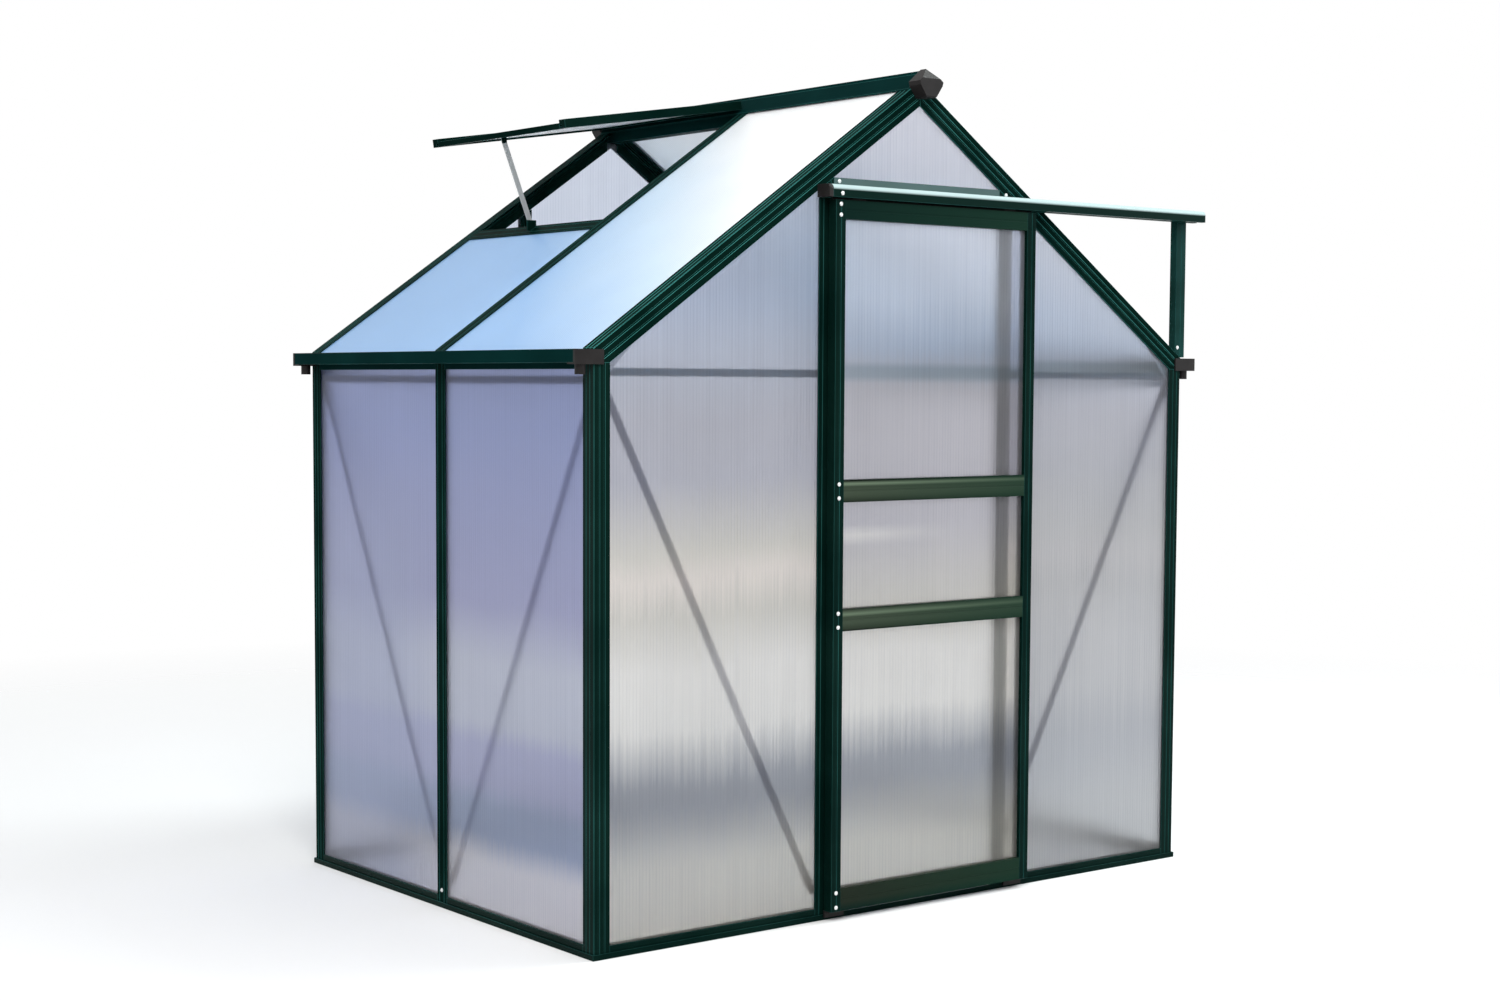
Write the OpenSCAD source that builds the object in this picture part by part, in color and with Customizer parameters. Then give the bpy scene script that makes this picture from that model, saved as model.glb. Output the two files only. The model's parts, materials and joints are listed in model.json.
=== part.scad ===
/* [Overall size] */
// Width over the sill lips
base_w = 1900; // [1700:10:2400]
// Depth over the sill lips
base_d = 1320; // [1200:10:2600]
// Height of the posts, up to the gutters' underside
wall_h = 1320; // [1200:1:1600]
// Pitch of both roof slopes in degrees
roof_pitch = 34.6; // [30:0.1:40]

/* [Extruded bars] */
// Wall thickness of the extruded bars
bar_t = 3; // [2:0.1:4]
// Width of a glazing bar's outer cap
cap_w = 43; // [36:1:60]
// Width of a glazing bar's inner flange
flange_w = 36; // [30:1:36]
// Thickness of a glazing bar's stem
stem_t = 6; // [4:0.5:8]
// Depth of the bolt channel behind the inner flange
channel_d = 12; // [10:0.5:16]
// Width of the bolt channel
channel_w = 15; // [12:0.5:18]
// Leg of the corner posts and of the gable rafters' roof side
corner_leg = 43; // [36:1:60]
// Depth of the gable rafters' face
rafter_leg = 50; // [44:1:60]
// Width of the lines pressed into the bars' faces
line_w = 4; // [2:0.5:5]
// Depth of the lines pressed into the bars' faces
line_d = 0.8; // [0.3:0.1:1.2]

/* [Glazing] */
// Thickness of the polycarbonate sheets
sheet_t = 4; // [3:0.5:6]
// Clearance on each side of a sheet in its channel
sheet_gap = 0.5; // [0.2:0.1:1]
// Clearance between a sheet's edge and the stem beside it
edge_gap = 2; // [1:0.5:4]
// How far gable sheets reach under the rafters' face
rafter_tuck = 16; // [8:1:24]

/* [Sills] */
// How far the lip stands out from the wall's face
lip_out = 4; // [4:0.5:16]
// Height of the lip
lip_h = 13; // [8:1:20]
// How far the base flange reaches inwards from the wall's face
flange_in = 45; // [36:1:80]
// Height of the sill's outer riser
riser_h = 28; // [24:1:40]
// How much higher the sill's inner riser stands
riser_step = 4; // [0:1:10]
// Height on which the sheets stand
seat_h = 17; // [12:1:20]
// Diameter of the anchor holes
anchor_d = 9; // [6:0.5:14]
// Distance of the anchor holes from the corner along the gable walls
anchor_in = 146; // [100:1:300]

/* [Gutters] */
// Reach of the trough out from the wall's face
gutter_out = 52; // [40:1:90]
// Height of the trough's outer wall
gutter_h = 29; // [20:1:40]
// Rise of the roof line over the gutter's underside, at the wall's face
eave_rise = 32; // [28:1:50]
// Depth of the channel that holds the sheets' upper edges
eave_channel = 14; // [8:1:24]
// Thickness of the moulded end caps in front of the wall's face
gutter_cap_t = 5; // [3:0.5:6]
// Outer diameter of the outlet spouts
spout_d = 24; // [16:1:30]
// Wall of the outlet spouts
spout_t = 3; // [2:0.5:4]
// Length of the outlet spouts
spout_l = 22; // [12:1:40]

/* [Ridge] */
// Half the width of the ridge box
ridge_half = 18; // [14:1:24]
// Depth of the ridge box under the roof line at its side
ridge_depth = 36; // [32:1:50]
// Half the width of the hood
hood_half = 36; // [30:1:48]
// Rise of the hood over the roof's apex line
hood_rise = 15; // [10:1:24]
// Radius of the bead along the top
bead_r = 8; // [5:0.5:12]
// Depth of the moulded end caps
ridge_cap_t = 41; // [12:1:48]
// Half the width of the moulded end caps
ridge_cap_half = 38; // [30:1:50]
// How far the moulded end caps stand over the bead
ridge_cap_over = 3; // [1:0.5:6]
// Height of the moulded end caps
ridge_cap_h = 70; // [60:1:80]
// Fall of the end caps' slopes, from their apex to their shoulders
ridge_cap_fall = 32; // [26:1:40]
// Half the width of the end caps' foot
ridge_cap_foot = 15; // [8:1:24]
// Length of the hip at the end caps' front
ridge_hip_l = 22; // [10:1:30]
// Fall of the hip at the end caps' front
ridge_hip_h = 25; // [10:1:30]

/* [Bracing] */
// Height of the inner rails
rail_h = 18; // [12:1:30]
// Drop of the gable rails' upper edge under the post tops
rail_drop = 11; // [10:1:60]
// Width of the flat braces
brace_w = 20; // [12:1:30]
// Thickness of the flat braces and of the gussets
brace_t = 2.5; // [2:0.1:3]
// Height of the braces' feet
brace_foot = 60; // [45:1:120]
// Length of the gussets along the posts and rafters
gusset_l = 95; // [60:1:120]

/* [Door] */
// Width of the door
door_w = 652; // [560:1:800]
// Shift of the closed door towards the side it opens to
door_shift = 35; // [0:1:45]
// Overlap of the door over the jambs' centre lines, on average
door_lap = 36; // [20:1:40]
// Thickness of the door
door_t = 26; // [20:1:30]
// Clearance between the door and the wall's face
door_clear = 10; // [10:0.5:16]
// Height of the door's lower edge
door_foot = 24; // [20:1:40]
// Width of the stiles
stile_w = 29; // [28:1:50]
// Height of the bottom rail
bottom_rail_h = 55; // [40:1:90]
// Height of the middle rails
middle_rail_h = 53; // [36:1:70]
// Height of the top rail
top_rail_h = 45; // [36:1:70]
// Height of the lower middle rail's underside
lower_rail_z = 693; // [500:1:800]
// Height of the upper middle rail's underside
upper_rail_z = 998; // [900:1:1200]
// How deep the sheets sit in the door's grooves
groove_d = 10; // [6:1:12]

/* [Door track] */
// Height of the track
track_h = 30; // [26:1:40]
// Clearance between the door and the track
track_gap = 5; // [5:0.5:10]
// Drop of the track's top under the header's upper edge
track_drop = 19; // [0:1:24]
// Overhang of the track past the closed door's left edge
track_left = 16; // [10:1:90]
// Overhang of the track past the middle of its support post
track_right = 43; // [30:1:85]
// Radius of the rounded hood
track_r = 12; // [8:1:14]
// Width of the slot under the rollers
slot_w = 16; // [14:1:20]
// Radius of the rollers
roller_r = 8; // [6:0.5:9]
// Distance of the roller hangers from the door's edges
hanger_in = 80; // [60:1:160]
// Distance of the track's support post from the corner, to its middle
support_in = 4; // [0:1:60]
// Width of the track's support post
support_w = 36; // [30:1:50]

/* [Roof vent] */
// Distance of the vent sill bar's middle from the roof's middle, level
vent_sill_x = 477; // [400:1:600]
// Height of the vent's hinge over the hood's lower edge
vent_up = 17; // [8:1:24]
// Length of the vent, from its hinge to its free edge
vent_l = 560; // [480:1:600]
// Fall of the open vent from the level, in degrees
vent_fall = 9; // [0:0.5:16]
// Width of the vent's bars
vent_bar_w = 26; // [20:1:40]
// Thickness of the vent's bars
vent_bar_t = 14; // [10:1:20]
// Extra height of the vent's side bars over its cross bars
vent_side_rise = 8; // [0:1:12]
// Clearance of the vent's ends to the bay's middle lines
vent_side = 6; // [4:1:20]
// Width of the stay
stay_w = 14; // [10:1:20]

/* [Hidden] */
$fn = 48;
fit = 0.3;
eps = 1;
wall_x = base_w / 2 - lip_out;
wall_y = base_d / 2 - lip_out;
inner = bar_t + sheet_t + 2 * sheet_gap;
behind = inner + bar_t;
bar_depth = behind + channel_d;
sheet_back = bar_t + sheet_gap + sheet_t;
eave_z = wall_h + eave_rise;
jamb_x = door_w / 2 - door_lap;
gable_posts = [-jamb_x, jamb_x];
side_posts = [0];
slope_l = (wall_x - ridge_half) / cos(roof_pitch);
slope_start = (behind + eps) / cos(roof_pitch) + fit;
anchor_x = wall_x - anchor_in;
anchor_y = wall_y - (behind + flange_in) / 2;
header_top = roof_z(jamb_x - cap_w / 2, rafter_leg) - fit;
header_h = 40;
track_z = header_top - track_drop - track_h;
door_top = track_z - track_gap;
door_left = door_shift - door_w / 2;
door_right = door_shift + door_w / 2;
door_mid = -door_clear - door_t / 2;
track_out = 2 * -door_mid - bar_t + 2;
track_from = door_left - track_left;
track_to = wall_x - support_in + track_right;
gable_rail_z = wall_h - rail_drop - rail_h;
side_rail_z = gable_rail_z - rail_h;
ridge_crown = roof_z(0, 0) + hood_rise;
hood_edge = roof_z(hood_half, -fit) + bar_t;
hood_lean = (hood_half - bead_r) / (ridge_crown - hood_edge);
vent_z = hood_edge + vent_up;
vent_x = hood_half - (vent_up - vent_bar_t / 2) * hood_lean + vent_bar_t / 2 * sin(vent_fall) + fit;
stay_t = 3;
dark_green = "#12382e";
sheet_tint = "#b4b9cc";
plug_black = "#2d2626";
bare_metal = "#96918c";

// Height of the roof line at a distance from the middle, and a depth below the slope's outer face
function roof_z(x, depth) = eave_z + (wall_x - abs(x)) * tan(roof_pitch) - depth / cos(roof_pitch);

// Stretches between the posts of a wall, each post or corner taking the given width
function bays(half, posts, at_corner, at_post) = [
    for (i = [0:len(posts)]) [
        i == 0 ? -half + at_corner : posts[i - 1] + at_post,
        i == len(posts) ? half - at_corner : posts[i] - at_post
    ]
];

// A wall's own frame: x along the wall, y inwards from its outer face, z up
module wall(turn, reach) {
    rotate(turn) translate([0, -reach, 0]) children();
}

module front_wall() wall(0, wall_y) children();
module right_wall() wall(90, wall_x) children();
module rear_wall() wall(180, wall_y) children();
module left_wall() wall(270, wall_x) children();

// The left slope's own frame: x up the slope from the eave, y to the rear, z out of the roof
module left_slope() {
    translate([-wall_x, 0, eave_z]) rotate([0, -roof_pitch, 0]) children();
}

// A piece and its mirror image across the house
module both_sides() {
    children();
    mirror([1, 0, 0]) children();
}

// A profile drawn across a bar, run along x
module along_x(length) {
    rotate([90, 0, 90]) linear_extrude(length) children();
}

// A flat outline in a wall's plane, between two depths
module in_wall(from, to) {
    translate([0, to, 0]) rotate([90, 0, 0]) linear_extrude(to - from) children();
}

// Open channel that takes the heads of the frame bolts
module bolt_channel_section() {
    lip = bar_t - 0.5;
    difference() {
        square([channel_w, channel_d]);
        translate([lip, -lip]) square([channel_w - 2 * lip, channel_d]);
        translate([2 * lip, 0]) square([channel_w - 4 * lip, channel_d + eps]);
    }
}

// Glazing bar: cap outside, flange behind the sheets, stem and bolt channel
module bar_section() {
    difference() {
        translate([-cap_w / 2, 0]) square([cap_w, bar_t]);
        for (side = [-1, 1])
            translate([side * cap_w / 4 - line_w / 2, -eps]) square([line_w, line_d + eps]);
    }
    translate([-stem_t / 2, bar_t / 2]) square([stem_t, inner]);
    translate([-flange_w / 2, inner]) square([flange_w, bar_t]);
    translate([-channel_w / 2, behind]) bolt_channel_section();
}

// Outer angle of a corner bar, with a notch along the arris and lines in both faces
module angle_section(leg_a, leg_b) {
    difference() {
        union() {
            square([leg_a, bar_t]);
            square([bar_t, leg_b]);
        }
        translate([-eps, -eps]) square(bar_t / 2 + eps);
        for (at = [leg_a / 3, leg_a * 2 / 3])
            translate([at - line_w / 2, -eps]) square([line_w, line_d + eps]);
        for (at = [leg_b / 3, leg_b * 2 / 3])
            translate([-eps, at - line_w / 2]) square([line_d + eps, line_w]);
    }
}

// Inner part of a corner bar: the core, two flanges behind the sheets and the bolt channel
module core_section(leg_a, leg_b) {
    translate([bar_t, bar_t]) square(behind - bar_t);
    translate([inner, inner]) square([leg_a - inner - 2, bar_t]);
    translate([inner, inner]) square([bar_t, leg_b - inner - 2]);
    translate([behind, behind]) difference() {
        square(channel_d);
        translate([bar_t - 0.5, bar_t - 0.5]) square(channel_d - 2 * bar_t + 1);
        translate([channel_d / 2, 2 * bar_t - 1]) square([channel_d, channel_d - 4 * bar_t + 2]);
    }
}

module corner_section(leg_a, leg_b) {
    angle_section(leg_a, leg_b);
    core_section(leg_a, leg_b);
}

// Strip of a sill between two depths, mitred at both corners
module mitred(half, from, to) {
    polygon([[-half + from, from], [half - from, from], [half - to, to], [-half + to, to]]);
}

// Two risers and the seat between them, along one bay
module seat_channel(bay) {
    length = bay[1] - bay[0];
    translate([bay[0], 0, 0]) {
        cube([length, bar_t, riser_h]);
        translate([0, 0, seat_h - bar_t]) cube([length, behind, bar_t]);
        translate([0, inner, 0]) cube([length, bar_t, riser_h + riser_step]);
    }
}

module sill(half, posts, open_bays) {
    spans = bays(half, posts, corner_leg + fit, cap_w / 2 + fit);
    linear_extrude(bar_t) mitred(half, -lip_out, flange_in);
    linear_extrude(lip_h) mitred(half, -lip_out, bar_t - lip_out);
    for (i = [0:len(spans) - 1])
        if (len(search(i, open_bays)) == 0)
            seat_channel(spans[i]);
}

module anchor_holes() {
    for (x = [-anchor_x, anchor_x], y = [-anchor_y, anchor_y])
        translate([x, y, -eps]) cylinder(d = anchor_d, h = bar_t + 2 * eps);
}

module front_sill() {
    color(dark_green) difference() {
        front_wall() sill(wall_x, gable_posts, [1]);
        anchor_holes();
    }
}

module rear_sill() {
    color(dark_green) difference() {
        rear_wall() sill(wall_x, gable_posts, []);
        anchor_holes();
    }
}

module left_sill() {
    color(dark_green) left_wall() sill(wall_y, side_posts, []);
}

module right_sill() {
    color(dark_green) right_wall() sill(wall_y, side_posts, []);
}

module corner_post() {
    translate([-wall_x, -wall_y, bar_t])
        linear_extrude(wall_h - bar_t) corner_section(corner_leg, corner_leg);
}

module front_corner_posts() {
    color(dark_green) both_sides() corner_post();
}

module rear_corner_posts() {
    color(dark_green) both_sides() mirror([0, 1, 0]) corner_post();
}

module side_middle_posts() {
    color(dark_green) both_sides() left_wall()
        translate([0, 0, bar_t]) linear_extrude(wall_h - bar_t) bar_section();
}

// Gable post that runs up to the rafter's lower edge and is cut along it
module gable_post() {
    intersection() {
        translate([-jamb_x, 0, bar_t]) linear_extrude(roof_z(0, 0)) bar_section();
        in_wall(-eps, bar_depth + eps) polygon([
            [-wall_x, 0], [0, 0], [0, roof_z(0, rafter_leg + fit)], [-wall_x, roof_z(wall_x, rafter_leg + fit)]
        ]);
    }
}

module door_jambs() {
    color(dark_green) both_sides() front_wall() gable_post();
}

module rear_studs() {
    color(dark_green) both_sides() rear_wall() gable_post();
}

// Gutter beam: hollow beam under the roof sheets and open trough outside the wall
module gutter_section() {
    beam_out = roof_z(wall_x, sheet_back + fit);
    beam_in = roof_z(wall_x - behind, sheet_back + fit);
    difference() {
        union() {
            polygon([[0, wall_h], [behind, wall_h], [behind, beam_in], [0, beam_out]]);
            translate([-gutter_out, wall_h]) square([gutter_out + behind, bar_t]);
            translate([-gutter_out, wall_h]) square([bar_t, gutter_h - bar_t]);
            translate([-gutter_out + bar_t, wall_h + gutter_h - bar_t]) circle(bar_t);
        }
        polygon([
            [bar_t, wall_h + bar_t], [behind - bar_t, wall_h + bar_t],
            [behind - bar_t, beam_in - 2 * bar_t], [bar_t, beam_out - bar_t]
        ]);
    }
}

// Gutter in the left wall's frame, with the channels that hold the sheets' upper edges
module gutter() {
    length = wall_y - bar_t - fit;
    difference() {
        union() {
            translate([-length, 0, 0]) along_x(2 * length) gutter_section();
            for (bay = bays(wall_y, side_posts, corner_leg + fit, cap_w / 2 + fit))
                for (y = [0, inner])
                    translate([bay[0], y, wall_h - eave_channel])
                        cube([bay[1] - bay[0], bar_t, eave_channel + bar_t / 2]);
        }
        for (side = [-1, 1])
            translate([side * spout_at, -gutter_out / 2, wall_h - eps])
                cylinder(d = spout_d - 2 * spout_t, h = bar_t + 2 * eps);
    }
}

spout_at = wall_y - spout_d / 2 - bar_t;

module left_gutter() {
    color("#0a4b3c") left_wall() gutter();
}

module right_gutter() {
    color("#0a4b3c") right_wall() gutter();
}

// End cap at the front end of the left gutter, with its outlet spout
module gutter_end_cap() {
    side_lap = 24;
    plate_t = bar_t + 1;
    front = wall_y + gutter_cap_t;
    difference() {
        union() {
            translate([-wall_x - gutter_out - fit, -front, wall_h - plate_t])
                cube([gutter_out - fit, gutter_cap_t + bar_t, plate_t + gutter_h]);
            translate([-wall_x - gutter_out - fit, -front, wall_h - plate_t])
                cube([gutter_out + side_lap, gutter_cap_t - fit, plate_t + gutter_h]);
            translate([-wall_x - gutter_out, -front, wall_h - plate_t])
                cube([gutter_out - fit, front - spout_at + spout_d / 2, plate_t]);
            translate([-wall_x - gutter_out / 2, -spout_at, wall_h - plate_t - spout_l])
                cylinder(d = spout_d, h = spout_l + eps);
        }
        translate([-wall_x - gutter_out / 2, -spout_at, wall_h - plate_t - spout_l - eps])
            cylinder(d = spout_d - 2 * spout_t, h = spout_l + plate_t + 2 * eps);
    }
}

module gutter_end_caps() {
    color(plug_black) both_sides() {
        gutter_end_cap();
        mirror([0, 1, 0]) gutter_end_cap();
    }
}

// Upright slab of the left half between two distances from the middle
module left_half(from, to) {
    translate([-to, -base_d, wall_h]) cube([to - from, 2 * base_d, 2 * wall_h]);
}

// Front rafter of the left slope: its gable face meets its twin, the rest stops at the ridge box
module gable_rafter() {
    run = wall_x / cos(roof_pitch) + rafter_leg;
    intersection() {
        left_slope() translate([-rafter_leg, -wall_y, 0]) along_x(run + rafter_leg) mirror([0, 1])
            intersection() {
                angle_section(corner_leg, rafter_leg);
                square([bar_t, rafter_leg]);
            }
        left_half(fit / 2, wall_x);
    }
    intersection() {
        union() {
            left_slope() translate([-rafter_leg, -wall_y, 0]) along_x(run + rafter_leg) mirror([0, 1])
                angle_section(corner_leg, rafter_leg);
            left_slope() translate([slope_start, -wall_y, 0]) along_x(run) mirror([0, 1])
                core_section(corner_leg, rafter_leg);
        }
        left_half(ridge_half, wall_x);
    }
}

module front_rafters() {
    color(dark_green) both_sides() gable_rafter();
}

module rear_rafters() {
    color(dark_green) both_sides() mirror([0, 1, 0]) gable_rafter();
}

module middle_rafters() {
    run = wall_x / cos(roof_pitch);
    color(dark_green) both_sides() intersection() {
        left_slope() {
            translate([-rafter_leg, 0, 0]) along_x(run + rafter_leg) mirror([0, 1]) intersection() {
                bar_section();
                translate([-cap_w / 2, 0]) square([cap_w, bar_t]);
            }
            translate([slope_start, 0, 0]) along_x(run) mirror([0, 1]) bar_section();
        }
        left_half(ridge_half, wall_x);
    }
}

// Ridge bar: box between the rafters, hood over their ends and bead along the top
module hood_section() {
    under = hood_edge - bar_t;
    polygon([
        [-hood_half, under], [0, roof_z(0, -fit)], [hood_half, under], [hood_half, hood_edge],
        [bead_r, ridge_crown], [-bead_r, ridge_crown], [-hood_half, hood_edge]
    ]);
    translate([0, ridge_crown]) circle(bead_r);
}

module ridge_bar() {
    box_top = roof_z(ridge_half, 0);
    box_foot = box_top - ridge_depth;
    length = wall_y - bar_t - fit;
    color(dark_green) translate([0, length, 0]) rotate([90, 0, 0]) linear_extrude(2 * length) difference() {
        union() {
            translate([-ridge_half, box_foot]) square([2 * ridge_half, ridge_depth + bar_t]);
            hood_section();
        }
        translate([bar_t - ridge_half, box_foot + bar_t])
            square([2 * (ridge_half - bar_t), ridge_depth - 2 * bar_t]);
    }
}

ridge_apex = ridge_crown + bead_r + ridge_cap_over;

// Face of a ridge end cap: a shield with its apex over the bead and a narrow foot
module ridge_cap_section() {
    shoulder = ridge_apex - ridge_cap_fall;
    foot = ridge_apex - ridge_cap_h;
    cheek = ridge_cap_half / 4;
    polygon([
        [0, ridge_apex], [ridge_cap_half, shoulder], [ridge_cap_half - bar_t, shoulder - cheek],
        [ridge_cap_foot, foot], [-ridge_cap_foot, foot],
        [bar_t - ridge_cap_half, shoulder - cheek], [-ridge_cap_half, shoulder]
    ]);
}

// End cap of the ridge: a plug in the hood and a shield in front, hipped towards its front
module ridge_end_cap() {
    foot = ridge_apex - ridge_cap_h;
    hip_l = min(ridge_hip_l, ridge_cap_t - bar_t);
    translate([0, -wall_y + bar_t, 0]) rotate([90, 0, 0]) linear_extrude(bar_t) intersection() {
        hood_section();
        ridge_cap_section();
    }
    translate([0, -wall_y, 0]) intersection() {
        rotate([90, 0, 0]) linear_extrude(ridge_cap_t) ridge_cap_section();
        translate([-ridge_cap_half, 0, 0]) along_x(2 * ridge_cap_half) polygon([
            [0, foot], [0, ridge_apex], [hip_l - ridge_cap_t, ridge_apex],
            [-ridge_cap_t, ridge_apex - ridge_hip_h], [-ridge_cap_t, foot + bar_t], [bar_t - ridge_cap_t, foot]
        ]);
    }
}

module ridge_end_caps() {
    color(plug_black) {
        ridge_end_cap();
        mirror([0, 1, 0]) ridge_end_cap();
    }
}

// Flat rail on the inner ends of the posts
module inner_rail(from, to, z) {
    translate([from, bar_depth, z]) cube([to - from, bar_t, rail_h]);
}

module side_rails() {
    half = wall_y - bar_depth - bar_t;
    color(dark_green) both_sides() left_wall() inner_rail(-half, half, side_rail_z);
}

module gable_rails() {
    half = wall_x - behind - fit;
    color(dark_green) {
        front_wall() inner_rail(-half, -jamb_x + channel_w / 2, gable_rail_z);
        front_wall() inner_rail(jamb_x - channel_w / 2, half, gable_rail_z);
        rear_wall() inner_rail(-half, half, gable_rail_z);
    }
}

// Flat brace between two points of a wall, with level ends
module brace(top, foot) {
    lean = atan2(abs(top[0] - foot[0]), top[1] - foot[1]);
    half = brace_w / 2 / cos(lean);
    in_wall(bar_depth, bar_depth + brace_t) polygon([
        [top[0] - half, top[1]], [top[0] + half, top[1]], [foot[0] + half, foot[1]], [foot[0] - half, foot[1]]
    ]);
}

module gable_brace() {
    brace([-wall_x + bar_depth + brace_w / 3, gable_rail_z - eps], [-jamb_x - channel_w / 2 - eps, brace_foot]);
}

module front_braces() {
    color(bare_metal) both_sides() front_wall() gable_brace();
}

module rear_braces() {
    color(bare_metal) both_sides() rear_wall() gable_brace();
}

module side_braces() {
    top = [wall_y - bar_depth - brace_w / 3, side_rail_z - eps];
    foot = [brace_w / 2 + bar_t, brace_foot];
    color(bare_metal) both_sides() left_wall() {
        brace(top, foot);
        mirror([1, 0, 0]) brace(top, foot);
    }
}

// Gusset plate between a corner post and the gable rafter, on their inner flanges
module eave_gusset() {
    edge = wall_x - bar_depth - fit;
    tip = edge - gusset_l;
    in_wall(behind, behind + brace_t) polygon([
        [-edge, wall_h - gusset_l / 2], [-edge, roof_z(edge, bar_depth + fit)], [-tip, roof_z(tip, bar_depth + fit)],
        [-tip, roof_z(tip, rafter_leg)]
    ]);
}

module eave_gussets() {
    color(bare_metal) both_sides() {
        front_wall() eave_gusset();
        rear_wall() eave_gusset();
    }
}

// Header over the doorway, with the channel that holds the sheet above it
module gable_header() {
    half = jamb_x - cap_w / 2 - fit;
    foot = header_top - header_h;
    color(dark_green) front_wall() {
        translate([-half, 0, foot]) cube([2 * half, bar_t, header_h]);
        translate([-half, 0, foot]) cube([2 * half, behind, bar_t]);
        translate([-half, 0, header_top - riser_h + seat_h - 2 * bar_t]) cube([2 * half, behind, bar_t]);
        translate([-half, inner, foot]) cube([2 * half, bar_t, header_h]);
    }
}

// Track: hood with a rounded front edge, open below along a slot
module track_section() {
    difference() {
        track_outline(0);
        track_outline(bar_t);
        translate([door_mid - slot_w / 2, track_z - eps]) square([slot_w, bar_t + 2 * eps]);
    }
}

module track_outline(wall_in) {
    wide = track_out - wall_in;
    top = track_z + track_h - wall_in;
    foot = track_z + wall_in;
    corner = track_r - wall_in;
    translate([-wide, foot]) square([wide - wall_in, top - corner - foot]);
    translate([corner - wide, foot]) square([wide - corner - wall_in, top - foot]);
    translate([corner - wide, top - corner]) circle(corner);
}

module door_track() {
    color(dark_green) front_wall()
        translate([track_from, 0, 0]) along_x(track_to - track_from) track_section();
}

// Plug in the left end of the track and stop in its right end
module track_plugs() {
    plug_t = 12;
    color(plug_black) front_wall() {
        translate([track_from - plug_t, 0, 0]) along_x(plug_t) track_outline(0);
        translate([track_to - 1.5 * plug_t, 0, 0]) along_x(plug_t) intersection() {
            track_outline(bar_t);
            translate([-track_out, track_z]) square([track_out, track_h / 2]);
        }
    }
}

// Support of the track's far end: an open bar that stands on the foot of the right rafter
module track_support() {
    middle = wall_x - support_in;
    depth = bar_depth - eps;
    color(dark_green) front_wall() difference() {
        translate([middle - support_w / 2, 0, wall_h]) linear_extrude(track_z + track_h - wall_h) difference() {
            square([support_w, depth]);
            translate([bar_t, bar_t]) square([support_w - 2 * bar_t, depth]);
            translate([support_w / 2 - line_w / 2, -eps]) square([line_w, line_d + eps]);
        }
        in_wall(-eps, depth + 2 * eps) polygon([
            [0, 0], [2 * wall_x, 0], [2 * wall_x, eave_z], [wall_x, eave_z], [0, roof_z(0, 0)]
        ]);
    }
}

// Sheet with the given outline in a wall's plane
module sheet(points) {
    in_wall(sheet_back - sheet_t, sheet_back) polygon(points);
}

module side_sheets() {
    for (bay = bays(wall_y, side_posts, behind + edge_gap, stem_t / 2 + edge_gap))
        sheet([
            [bay[0], seat_h + fit], [bay[1], seat_h + fit],
            [bay[1], wall_h - fit], [bay[0], wall_h - fit]
        ]);
}

module left_wall_sheets() {
    color(sheet_tint) left_wall() side_sheets();
}

module right_wall_sheets() {
    color(sheet_tint) right_wall() side_sheets();
}

gable_bays = bays(wall_x, gable_posts, behind + edge_gap, stem_t / 2 + edge_gap);
tuck_depth = rafter_leg - rafter_tuck;

// Outer sheet of a gable wall, cut along the rafter
module gable_side_sheet() {
    bay = gable_bays[0];
    sheet([
        [bay[0], seat_h + fit], [bay[1], seat_h + fit],
        [bay[1], roof_z(bay[1], tuck_depth)], [bay[0], roof_z(bay[0], tuck_depth)]
    ]);
}

module front_wall_sheets() {
    color(sheet_tint) both_sides() front_wall() gable_side_sheet();
}

// Sheet between the gable posts from a given height up to the ridge box
module gable_middle_sheet(foot, half) {
    peak = roof_z(ridge_half, 0) - ridge_depth - fit;
    peak_half = wall_x - (peak - roof_z(wall_x, tuck_depth)) / tan(roof_pitch);
    sheet([
        [-half, foot], [half, foot], [half, max(foot, roof_z(half, tuck_depth))],
        [peak_half, peak], [-peak_half, peak], [-half, max(foot, roof_z(half, tuck_depth))]
    ]);
}

module front_gable_sheet() {
    foot = header_top - riser_h + seat_h - bar_t + fit;
    color(sheet_tint) front_wall() gable_middle_sheet(foot, jamb_x - stem_t / 2 - edge_gap);
}

module rear_wall_sheets() {
    color(sheet_tint) {
        both_sides() rear_wall() gable_side_sheet();
        rear_wall() gable_middle_sheet(seat_h + fit, jamb_x - stem_t / 2 - edge_gap);
    }
}

sheet_low = -4;
sheet_high = (wall_x - ridge_half - edge_gap - sheet_back * sin(roof_pitch)) / cos(roof_pitch);
vent_sill_at = (wall_x - vent_sill_x) / cos(roof_pitch);

// Sheet of the left slope's front or rear bay, up to a given distance from the eave
module roof_sheet(bay, top) {
    left_slope() translate([sheet_low, bay[0], -sheet_back]) cube([top - sheet_low, bay[1] - bay[0], sheet_t]);
}

roof_bays = bays(wall_y, side_posts, behind + edge_gap, stem_t / 2 + edge_gap);

module left_roof_sheets() {
    color(sheet_tint) {
        roof_sheet(roof_bays[0], sheet_high);
        roof_sheet(roof_bays[1], vent_sill_at - stem_t / 2 - edge_gap);
    }
}

module right_roof_sheets() {
    color(sheet_tint) mirror([1, 0, 0]) {
        roof_sheet(roof_bays[0], sheet_high);
        roof_sheet(roof_bays[1], sheet_high);
    }
}

stay_y = wall_y / 2;

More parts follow.
